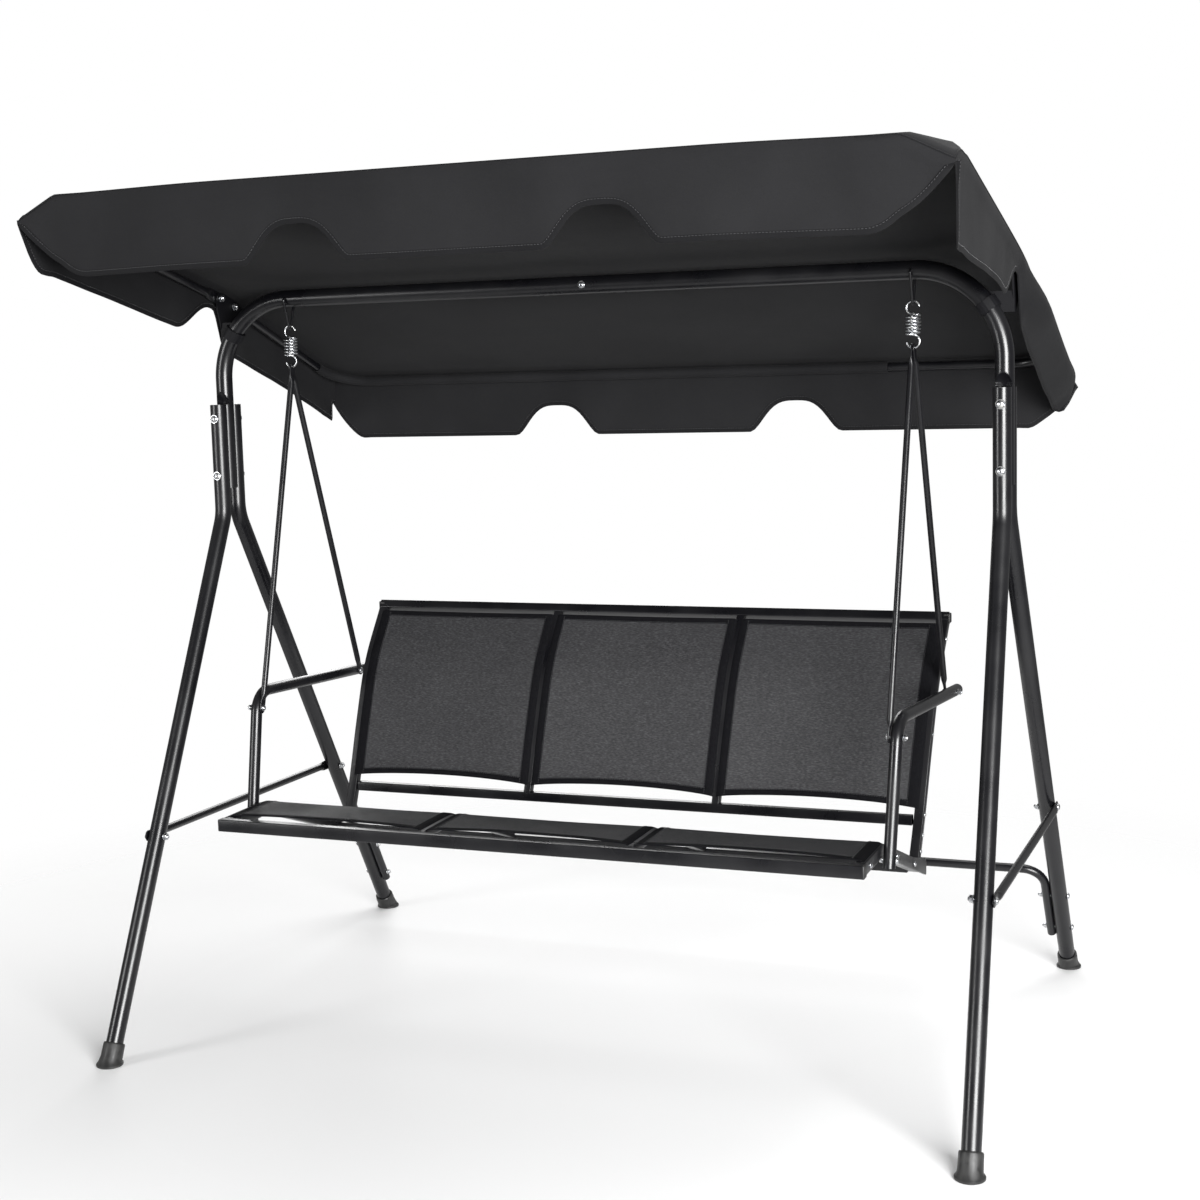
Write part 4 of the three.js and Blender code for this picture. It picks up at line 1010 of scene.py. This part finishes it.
def stitch_row(shell, points, normals, spacing=0.0052, length=0.0034, radius=0.00038, material=2):
    """Short proud stitches along a line of points on the cloth."""
    total = sum((b - a).length for a, b in zip(points, points[1:]))
    walked, i, start = 0.0, 0, spacing / 2
    while start + length < total:
        ends = []
        for target in (start, start + length):
            while i < len(points) - 2 and walked + (points[i + 1] - points[i]).length < target:
                walked += (points[i + 1] - points[i]).length
                i += 1
            step = (points[i + 1] - points[i]).length
            ends.append(points[i].lerp(points[i + 1], (target - walked) / max(step, 1e-6)))
        normal = normals[i]
        one_stitch(shell, ends[0], ends[1], normal, radius, material)
        start += spacing
    return shell


def one_stitch(shell, a, b, normal, radius, material):
    along = (b - a).normalized()
    side = along.cross(normal).normalized()
    vertices = []
    for share, size, lift in ((0, 0.3, -0.2), (0.25, 1, 0.9), (0.75, 1, 0.9), (1, 0.3, -0.2)):
        centre = a.lerp(b, share) + normal * radius * lift
        vertices += [centre + side * radius * size, centre + normal * radius * size,
                     centre - side * radius * size, centre - normal * radius * size]
    shell.add(vertices, skin(4, 4), material)


def sling_stops(count, low, high):
    """Shares across a panel: close together at the edges of its two hems, even between them."""
    step = 0.0006
    stops = [0, low * 0.35, low * 0.7, low - step, low + step]
    stops += [low + (1 - low - high) * k / count for k in range(1, count)]
    return stops + [1 - high - step, 1 - high + step, 1 - high * 0.7, 1 - high * 0.35, 1]


def panel_border(columns, rows):
    """The grid's outer places in order."""
    border = list(range(columns)) + [r * columns + columns - 1 for r in range(1, rows)]
    border += [(rows - 1) * columns + c for c in range(columns - 2, -1, -1)]
    return border + [r * columns for r in range(rows - 2, 0, -1)]


def sling_panel(node, surface, width, height, hems):
    """A panel with the points surface(u, v, lift). Its hems are stitched near their inner edges."""
    low, high, end = hems[0] / width, hems[1] / width, END_HEM / height
    us, vs = sling_stops(34, low, high), sling_stops(38, end, end)
    columns, rows = len(us), len(vs)
    double, single = 0.0012, 0.0005

    def hemmed(u, v):
        return u < low or u > 1 - high or v < end or v > 1 - end

    shell = Shell()
    for sign in (1, -1):
        vertices = [surface(u, v, sign * (double if hemmed(u, v) else single)) for v in vs for u in us]
        places = [(u * width, v * height) for v in vs for u in us]
        for r in range(rows - 1):
            for c in range(columns - 1):
                a = len(shell.vertices) + r * columns + c
                face = [a, a + 1, a + columns + 1, a + columns]
                shell.faces.append(face if sign > 0 else face[::-1])
                middle_u, middle_v = (us[c] + us[c + 1]) / 2, (vs[r] + vs[r + 1]) / 2
                shell.materials.append(1 if hemmed(middle_u, middle_v) else 0)
        shell.add(vertices, [], 0, places)
    border = panel_border(columns, rows)
    for a, b in zip(border, border[1:] + border[:1]):
        shell.faces.append([b, a, a + rows * columns, b + rows * columns])
        shell.materials.append(1)
    inset = 0.0018
    left, right = low - inset / width, 1 - high + inset / width
    near, far = end - inset / height, 1 - end + inset / height
    inner_us = [u for u in us if left <= u <= right]
    lines = [[(left, v) for v in vs], [(right, v) for v in vs], [(u, near) for u in inner_us],
             [(u, far) for u in inner_us]]
    for line in lines:
        seam = [surface(u, v, double) for u, v in line]
        above = [surface(u, v, double + 0.001) for u, v in line]
        stitch_row(shell, seam, [(p - q).normalized() for p, q in zip(above, seam)])
    panel = shell.piece(f"{node}_cloth", "seat", "sling_mesh", [SLING, HEM, THREAD], [node], 50)
    return panel


def tuck(distance, radius=0.004):
    """How far the cloth's side edge turns down into the rail's channel."""
    over = max(0.0, radius - distance)
    return 0.8 * over * over / radius


def make_seat_sling(panel_name, low_x, high_x, hems):
    width = high_x - low_x
    front_y, rear_y = SEAT_FRONT_Y + 0.026, SEAT_REAR_Y - 0.012
    line = divided(seat_line(0, front_y, rear_y, -0.0021), 0.004)
    height = sum((b - a).length for a, b in zip(line, line[1:]))

    def surface(u, v, lift):
        x = low_x + width * u
        belly = 4 * u * (1 - u)
        bowed = v + (0.024 * belly ** 0.8 * (1 - v) ** 3 - 0.006 * belly * v ** 3) / height
        place = along_line(line, bowed * height)
        ahead = along_line(line, bowed * height + 0.004) - along_line(line, bowed * height - 0.004)
        up = X_AXIS.cross(ahead).normalized()
        sag = belly ** 1.2 * (0.010 * smooth(0.40, 0.75, v) * math.sin(math.pi * min(1, 1.06 - v) / 2)
                              + 0.0015 * math.sin(math.pi * min(1, v / 0.4)))
        ripple = 0.0010 * noise.noise(Vector((x * 7, place.y * 13, 3.1))) * belly
        down = sag - ripple + tuck(min(u, 1 - u) * width)
        return Vector((x, place.y, place.z)) + up * (lift - down)

    return sling_panel(f"seat_sling_{panel_name}", surface, width, height, hems)


BACK_SPAN = (0.219, 0.990)


def make_back_sling(panel_name, low_x, high_x, hems):
    length = sum((b - a).length for a, b in zip(BACK_LINE, BACK_LINE[1:]))
    height = (BACK_SPAN[1] - BACK_SPAN[0]) * length
    width = high_x - low_x
    stand = BACK_DEPTH / 2 + 0.0021

    def surface(u, v, lift):
        belly = 4 * u * (1 - u)
        t = BACK_SPAN[0] + (BACK_SPAN[1] - BACK_SPAN[0]) * v
        t += 0.024 * belly ** 0.8 * (1 - v) ** 3
        splay = 1 + (BACK_SPLAY[1] - BACK_SPLAY[0]) * (t - 1) / BACK_SPLAY[1]
        x = (low_x + width * u) * splay
        place, forward = back_at(t), back_forward(t)
        sag = 0.008 * belly ** 1.2 * math.sin(math.pi * (0.1 + 0.84 * v))
        ripple = 0.0009 * noise.noise(Vector((x * 7, place.z * 11, 9.7))) * belly
        away = stand - sag + ripple - tuck(min(u, 1 - u) * width) + lift
        return Vector((x, place.y, place.z)) + forward * away

    return sling_panel(f"back_sling_{panel_name}", surface, width, height, hems)


# ------------------------------------------------------------------ canopy frame

CANOPY_HALF = 0.0018


def make_canopy_tube(node, edge, hole):
    corners = [Vector((x, at.y, at.z)) for x, at in
               ((-CANOPY_ARM_X, hole), (-CANOPY_ARM_X, edge), (CANOPY_ARM_X, edge), (CANOPY_ARM_X, hole))]
    overhang = (corners[0] - corners[1]).normalized() * 0.012
    corners[0], corners[3] = corners[0] + overhang, corners[3] + overhang
    side = X_AXIS.cross(overhang).normalized()
    flat_ended(f"{node}_bent", node, corners, side, CANOPY_TUBE_R, CANOPY_HALF, 0.042, 0.024, "canopy",
               CANOPY_CORNER)


def make_canopy_bolts(side_name, side):
    inside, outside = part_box("canopy_bracket_right")[1].x - 0.0033, CANOPY_ARM_X + 0.0021
    for kind, at in (("pivot", CANOPY_PIVOT), ("clamp", CANOPY_CLAMP)):
        node = f"canopy_{kind}_bolt_{side_name}"
        bolt(f"{node}_set", Vector((side * outside, at.y, at.z)), X_AXIS * -side, outside - inside, "canopy",
             [node], head_height=0.004)


def make_bracket_finish():
    """The brackets keep their CAD shape, with softened edges."""
    for side_name, _ in SIDES:
        bracket = frame["nodes"][f"canopy_bracket_{side_name}"]
        bracket.data.materials.clear()
        bracket.data.materials.append(BRACKET_PAINT)
        soften = bracket.modifiers.new("soften", "BEVEL")
        soften.width = 0.0007
        soften.segments = 2
        soften.limit_method = "ANGLE"
        soften.angle_limit = math.radians(40)


# ------------------------------------------------------------------ canopy cloth

EDGE_X = CANOPY_ARM_X + 0.0140
EDGE_FRONT = CANOPY_FRONT.y - 0.0140
EDGE_REAR = CANOPY_REAR.y + 0.0140
RIDGE = (BAR_Y + 0.045, 1.5360)
ROOF_FRONT_Z = CANOPY_FRONT.z + 0.0150
ROOF_REAR_Z = CANOPY_REAR.z + 0.0110
DROP = 0.143


def roof_profile(y):
    """The roof's height over the side arms: straight to the ridge, with the fold over the ridge rounded."""
    front = ROOF_FRONT_Z + (RIDGE[1] - ROOF_FRONT_Z) * (y - EDGE_FRONT) / (RIDGE[0] - EDGE_FRONT)
    rear = RIDGE[1] + (ROOF_REAR_Z - RIDGE[1]) * (y - RIDGE[0]) / (EDGE_REAR - RIDGE[0])
    bend = 0.006
    return (front + rear) / 2 - math.hypot((front - rear) / 2, bend) + bend * 0.55


CORNER_FOLD = 0.090                           # the loose triangle of cloth past a tube's round corner


def past_corner(x, y):
    """How far a place lies in the loose triangle at one of the cloth's corners."""
    over_x = abs(x) - (EDGE_X - CORNER_FOLD)
    over_y = EDGE_FRONT + CORNER_FOLD - y if y < RIDGE[0] else y - (EDGE_REAR - CORNER_FOLD)
    return max(0.0, over_x + over_y - CORNER_FOLD)


def roof_point(x, y):
    """A point of the roof, with its sag between the tubes and its fold past their corners."""
    across = max(0.0, 1 - (x / EDGE_X) ** 2)
    front = y < RIDGE[0]
    share = (y - EDGE_FRONT) / (RIDGE[0] - EDGE_FRONT) if front else (y - RIDGE[0]) / (EDGE_REAR - RIDGE[0])
    z = roof_profile(y) - (0.013 if front else 0.010) * across ** 0.6 * math.sin(math.pi * share)
    z -= 0.004 * across * math.exp(-((y - RIDGE[0]) / 0.10) ** 2)
    past = past_corner(x, y)
    wrap = 0.014 * smooth(CANOPY_ARM_X - 0.006, EDGE_X + 0.004, abs(x))
    wrap += 0.005 * smooth(CANOPY_ARM_X + 0.008, EDGE_X + 0.002, abs(x))
    z -= wrap * (1 - smooth(0, 0.06, past))
    z -= (0.003 + 0.004 * smooth(0.45, 0.78, abs(x))) * smooth(0, 0.014, EDGE_FRONT + 0.014 - y)
    droop = past - 0.005
    z -= (0.50 if front else 0.10) * (droop + math.hypot(droop, 0.004)) / 2
    span = smooth(0, 0.10, EDGE_X - abs(x)) * smooth(0, 0.08, y - EDGE_FRONT) * smooth(0, 0.08, EDGE_REAR - y)
    z += 0.0035 * span * noise.noise(Vector((x * 4.2, y * 5.5, 1.7)))
    z += 0.0016 * span * noise.noise(Vector((x * 2.0 + y * 9.0, y * 2.2 - x * 1.5, 5.3)))
    return Vector((x, y, z))


NOTCH_X = 0.282
NOTCH_HALF = 0.104
NOTCH_DEPTH = 0.067
SIDE_NOTCH_DROP = 0.036


def notch(distance):
    """A rounded scallop cut up into the valance."""
    t = min(1.0, abs(distance) / NOTCH_HALF)
    return NOTCH_DEPTH * (1 - t ** 3.2) ** 2.2


def corner_cut(distance, reach):
    """From 0 at a corner of the cloth to 1 where the valance has its full depth."""
    return math.sin(math.pi / 2 * min(1.0, distance / reach))


def side_drop(x, y):
    """A side valance's depth: front lobe, scallop by the legs, rear lobe. The right one hangs lower."""
    place = y - BAR_Y
    right = x > 0
    front_lobe = 0.108 + (0.038 * (1 - smooth(-0.56, -0.15, place)) if right else 0)
    rear_lobe = 0.117 - (0.004 if right else 0.010) * smooth(0.08, 0.40, place)
    rear_lobe += 0.010 * math.exp(-((place - 0.492) / 0.024) ** 2)
    front_edge = 1 - smooth(-0.140, -0.006, place)
    rear_edge = smooth(0.004, 0.045, place)
    middle_drop = SIDE_NOTCH_DROP + (rear_lobe - SIDE_NOTCH_DROP) * rear_edge
    drop = middle_drop + (front_lobe - middle_drop) * front_edge
    drop = 0.006 + (drop - 0.006) * corner_cut(y - EDGE_FRONT, 0.040 if right else 0.054)
    return drop + (0.056 - drop) * (1 - smooth(0, 0.036 if right else 0.050, EDGE_REAR - y))


def valance_drop(edge, x, y):
    """The valance's depth below the seam. Its lobes round up to the corners."""
    if edge == "front":
        drop = DROP + 0.003 - notch(abs(x) - NOTCH_X)
        return 0.006 + (drop - 0.006) * corner_cut(EDGE_X - abs(x), 0.140)
    if edge == "rear":
        drop = DROP + 0.003 - notch(abs(x) - NOTCH_X)
        return 0.056 + (drop - 0.056) * corner_cut(EDGE_X - abs(x), 0.078)
    return side_drop(x, y)


def edge_stations():
    """Places round the roof's edge, front left to right, then back along the right side, and so on."""
    xs = [-EDGE_X + 2 * EDGE_X * k / COLUMNS for k in range(COLUMNS + 1)]
    ys = [EDGE_FRONT + (EDGE_REAR - EDGE_FRONT) * k / ROWS for k in range(ROWS + 1)]
    stations = [("front", x, EDGE_FRONT) for x in xs[:-1]]
    stations += [("right", EDGE_X, y) for y in ys[:-1]]
    stations += [("rear", x, EDGE_REAR) for x in reversed(xs[1:])]
    stations += [("left", -EDGE_X, y) for y in reversed(ys[1:])]
    return stations


COLUMNS, ROWS, TIERS = 190, 150, 15
OUTWARD = {"front": Vector((0, -1, 0)), "rear": Vector((0, 1, 0)), "left": Vector((-1, 0, 0)),
           "right": Vector((1, 0, 0))}


def side_lean(x, y, share):
    """How far a side valance stands out from its seam: its front lobe leans in, its rear lobe bellies out."""
    back = smooth(BAR_Y - 0.01, BAR_Y + 0.17, y)
    belly = 0.034 if x > 0 else 0.012
    return -0.007 * share * (1 - back) + (belly * math.sin(math.pi * share) - 0.014 * share ** 2) * back


def corner_lean(x, y, share):
    """The loose corners' own lean: the rear ones flare out."""
    if y < RIDGE[0]:
        return 0.0
    return (0.028 if x > 0 else 0.008) * share


def valance_point(edge, x, y, depth, drop):
    """A point of the valance at a depth below the seam: it hangs, leans or flares, and ripples."""
    share = depth / max(drop, 0.001)
    out = OUTWARD[edge]
    run = x if edge in ("front", "rear") else y
    lean = 0.002 * math.sin(math.pi * min(1.0, depth / 0.03))
    lean += 0.0045 * noise.noise(Vector((run * 5.0, len(edge) * 3.7, 0.4))) * share
    lean += 0.0022 * noise.noise(Vector((run * 15.0, len(edge) * 1.3, depth * 6))) * share
    if edge in ("left", "right"):
        lean += side_lean(x, y, share)
    elif edge == "front":
        lean -= 0.006 * share
    sideways = X_AXIS * math.copysign(corner_lean(x, y, share), x)
    far = smooth(0, 0.055, max(EDGE_X - abs(x), min(y - EDGE_FRONT, EDGE_REAR - y)))
    return roof_point(x, y) - Z_AXIS * depth + (out * lean) * far + sideways * (1 - far)


def make_canopy_cloth():
    columns, rows = COLUMNS + 1, ROWS + 1
    vertices, places, faces = [], [], []
    for r in range(rows):
        y = EDGE_FRONT + (EDGE_REAR - EDGE_FRONT) * r / ROWS
        for c in range(columns):
            x = -EDGE_X + 2 * EDGE_X * c / COLUMNS
            vertices.append(roof_point(x, y))
            places.append((x, y))
    for r in range(ROWS):
        for c in range(COLUMNS):
            a = r * columns + c
            faces.append([a, a + 1, a + columns + 1, a + columns])
    stations = edge_stations()
    seam = [c for c in range(COLUMNS)] + [r * columns + COLUMNS for r in range(ROWS)]
    seam += [ROWS * columns + c for c in range(COLUMNS, 0, -1)] + [r * columns for r in range(ROWS, 0, -1)]
    rings = [seam]
    run = 0.0
    runs = []
    for i in range(len(stations)):
        runs.append(run)
        run += (vertices[seam[(i + 1) % len(seam)]] - vertices[seam[i]]).length
    lower = []
    for tier in range(1, TIERS + 1):
        ring = []
        for i, (edge, x, y) in enumerate(stations):
            drop = valance_drop(edge, x, y)
            depth = drop * tier / TIERS
            point = valance_point(edge, x, y, depth, drop)
            ring.append(len(vertices))
            vertices.append(point)
            places.append((runs[i], -depth))
            if tier == TIERS:
                lower.append((point, edge))
        rings.append(ring)
    n = len(stations)
    for upper_ring, lower_ring in zip(rings, rings[1:]):
        for i in range(n):
            j = (i + 1) % n
            faces.append([upper_ring[i], lower_ring[i], lower_ring[j], upper_ring[j]])
    shell = Shell().add(vertices, faces, 0, places)
    cloth = shell.piece("canopy_cloth", "canopy", "canopy_cloth", [CANOPY], ["canopy_fabric"], 70)
    thicken = cloth.modifiers.new("thickness", "SOLIDIFY")
    thicken.thickness = 0.0010
    thicken.offset = -1
    seam_line = [vertices[i] for i in seam]
    binding = make_binding(lower)
    welt = make_seam(seam_line, stations)
    sleeve = make_sleeve()
    return cloth


def make_sleeve():
    """The hem under the roof's rear edge that the rear tube runs through. The tube shows at its right end."""
    rear = CANOPY_REAR
    down = (CANOPY_REAR - CANOPY_CLAMP).normalized()
    start = Vector((-CANOPY_ARM_X, rear.y, rear.z)) - down * (CANOPY_CORNER + 0.015)
    corners = [start, Vector((-CANOPY_ARM_X, rear.y, rear.z)), Vector((0.492, rear.y, rear.z))]
    points = divided(route(corners, CANOPY_CORNER), 0.012)
    side = X_AXIS.cross(down).normalized()

    def section(i):
        loose = 0.0020 + 0.0010 * noise.noise(Vector((points[i].x * 9, 2.2, 0.3)))
        return circle(CANOPY_TUBE_R + loose, 28)

    shell = sweep(Shell(), points, side, section, wall=0.0009, depth=0.004)
    return shell.piece("canopy_rear_sleeve", "canopy", "canopy_cloth", [CANOPY], crease=50)


def make_binding(lower):
    """The tape folded over the valance's lower edge, with its row of stitches."""
    points = [p for p, _ in lower]
    n = len(points)
    half, wide = 0.0014, 0.0095
    outline = [(-half, wide), (-half, 0.0), (-half * 0.6, -0.0012), (half * 0.6, -0.0012), (half, 0.0),
               (half, wide)]
    vertices, faces, normals = [], [], []
    for i, (point, edge) in enumerate(lower):
        along = (points[(i + 1) % n] - points[i - 1]).normalized()
        out = OUTWARD[edge]
        if edge != lower[i - 1][1]:
            out = (OUTWARD[edge] + OUTWARD[lower[i - 1][1]]).normalized()
        up = along.cross(out).normalized()
        up = up if up.z > 0 else -up
        out = out - along * out.dot(along)
        out.normalize()
        normals.append((out, up))
        vertices += [point + out * a + up * b for a, b in outline]
    m = len(outline)
    for i in range(n):
        j = (i + 1) % n
        for k in range(m):
            l = (k + 1) % m
            faces.append([i * m + k, i * m + l, j * m + l, j * m + k])
    shell = Shell().add(vertices, faces)
    for sign in (1, -1):
        line = [p + out * half * sign + up * 0.0078 for p, (out, up) in zip(points, normals)]
        outward = [out * sign for out, _ in normals + normals[:1]]
        stitch_row(shell, line + line[:1], outward, 0.0058, 0.0038, 0.00042, 1)
    return shell.piece("canopy_binding_tape", "canopy", "canopy_cloth", [BINDING, THREAD], crease=40)


def make_seam(line, stations):
    """The sewn seam between roof and valance: a low ridge."""
    n = len(line)
    vertices, faces = [], []
    for i, point in enumerate(line):
        edge = stations[i][0]
        out = OUTWARD[edge]
        if edge != stations[i - 1][0]:
            out = (out + OUTWARD[stations[i - 1][0]]).normalized()
        lift = (out * 0.6 + Z_AXIS * 0.8).normalized()
        along = (line[(i + 1) % n] - line[i - 1]).normalized()
        side = along.cross(lift).normalized()
        for k in range(6):
            t = math.pi * k / 5
            vertices.append(point + side * 0.0016 * math.cos(t) + lift * (0.0013 * math.sin(t) - 0.0004))
    for i in range(n):
        j = (i + 1) % n
        for k in range(6):
            l = (k + 1) % 6
            faces.append([i * 6 + k, j * 6 + k, j * 6 + l, i * 6 + l])
    shell = Shell().add(vertices, faces)
    return shell.piece("canopy_edge_seam", "canopy", "canopy_cloth", [BINDING], crease=60)


# ------------------------------------------------------------------ the whole swing


def build():
    for side_name, side in SIDES:
        for end_name, end in (("front", -1), ("rear", 1)):
            make_leg(side_name, side, end_name, end)
            make_foot(side_name, side, end_name, end)
            make_hanger_rod(side_name, side, end_name, end)
        make_leg_bolts(side_name, side)
        make_top_bar(side_name, side)
        make_side_brace(side_name, side)
        make_stirrup(side_name, side)
        make_spring(side_name, side)
        make_armrest(side_name, side)
        make_canopy_bolts(side_name, side)
    make_crossbar()
    bolt("splice_bolt_set", Vector((SPLICE_X, BAR_Y - BAR_R - 0.0003, BAR_Z)), Y_AXIS, 2 * (BAR_R + 0.0003),
         "frame", ["top_bar_splice_bolt"], 0.0035, 0.0065, 0.0035)
    make_seat_frame()
    make_back_frame()
    for panel in PANELS:
        make_seat_sling(*panel)
        make_back_sling(*panel)
    make_canopy_tube("canopy_front_tube", CANOPY_FRONT, CANOPY_PIVOT)
    make_canopy_tube("canopy_rear_tube", CANOPY_REAR, CANOPY_CLAMP)
    make_bracket_finish()
    make_canopy_cloth()


# ------------------------------------------------------------------ floor, light and camera


def make_floor():
    """A pale floor that fades into the white backdrop away from the swing."""
    size = 6.0
    mesh = bpy.data.meshes.new("studio_floor")
    corners = [(-size, -size, 0), (size, -size, 0), (size, size, 0), (-size, size, 0)]
    mesh.from_pydata(corners, [], [[0, 1, 2, 3]])
    floor = bpy.data.objects.new("studio_floor", mesh)
    bpy.context.scene.collection.objects.link(floor)
    finish = Finish("pale_floor", (0.92, 0.92, 0.92), 0.6, specular_ior_level=0.1)
    place = finish.nodes.new("ShaderNodeTexCoord")
    distance = finish.nodes.new("ShaderNodeVectorMath")
    distance.operation = "LENGTH"
    finish.links.new(place.outputs["Object"], distance.inputs[0])
    finish.set("Alpha", finish.spread(distance.outputs["Value"], 1.0, 2.4, 1.0, 0.0))
    mesh.materials.append(finish.material)


def area_light(name, place, target, size, power, height=None):
    light = bpy.data.lights.new(name, "AREA")
    light.shape = "RECTANGLE"
    light.size = size
    light.size_y = height or size
    light.energy = power
    lamp = bpy.data.objects.new(name, light)
    lamp.location = place
    lamp.rotation_euler = (Vector(target) - Vector(place)).to_track_quat("-Z", "Y").to_euler()
    bpy.context.scene.collection.objects.link(lamp)


def make_light():
    """Soft light from the front, weaker light from all round, and a white backdrop."""
    world = bpy.data.worlds.new("studio")
    bpy.context.scene.world = world
    world.use_nodes = True
    nodes, links = world.node_tree.nodes, world.node_tree.links
    around = nodes["Background"]
    around.inputs["Strength"].default_value = 0.24
    around.inputs["Color"].default_value = (1, 1, 1, 1)
    backdrop = nodes.new("ShaderNodeBackground")
    backdrop.inputs["Strength"].default_value = 1.0
    backdrop.inputs["Color"].default_value = (1, 1, 1, 1)
    path = nodes.new("ShaderNodeLightPath")
    mix = nodes.new("ShaderNodeMixShader")
    links.new(path.outputs["Is Camera Ray"], mix.inputs[0])
    links.new(around.outputs["Background"], mix.inputs[1])
    links.new(backdrop.outputs["Background"], mix.inputs[2])
    links.new(mix.outputs["Shader"], nodes["World Output"].inputs["Surface"])
    area_light("key", (3.2, -3.9, 1.4), (0, 0, 1.0), 2.4, 570, 2.2)
    area_light("fill", (-3.8, -4.2, 1.4), (0, 0, 1.0), 1.2, 110, 2.2)
    area_light("back", (-2.4, 4.4, 2.6), (0, 0, 1.0), 2.4, 90)
    area_light("top", (0.6, 1.4, 4.4), (0, 0, 1.2), 3.0, 95)


def make_camera():
    """Looks at the swing from the front right, a little below the canopy and tilted up."""
    yaw, pitch, roll = 0.381, -0.119, -0.027
    forward = Vector((-math.sin(yaw) * math.cos(pitch), math.cos(yaw) * math.cos(pitch), math.sin(pitch)))
    right = Vector((math.cos(yaw), math.sin(yaw), 0))
    up = right.cross(forward)
    r = right * math.cos(roll) + up * math.sin(roll)
    u = up * math.cos(roll) - right * math.sin(roll)
    data = bpy.data.cameras.new("camera")
    data.lens = 56.55
    data.sensor_width = 36.0
    data.clip_end = 100
    camera = bpy.data.objects.new("camera", data)
    camera.matrix_world = Matrix(((r.x, u.x, -forward.x, 1.412), (r.y, u.y, -forward.y, BAR_Y - 3.465),
                                  (r.z, u.z, -forward.z, 1.331), (0, 0, 0, 1)))
    bpy.context.scene.collection.objects.link(camera)
    bpy.context.scene.camera = camera


build()
make_floor()
make_light()
make_camera()
bpy.context.scene.view_settings.view_transform = "Standard"
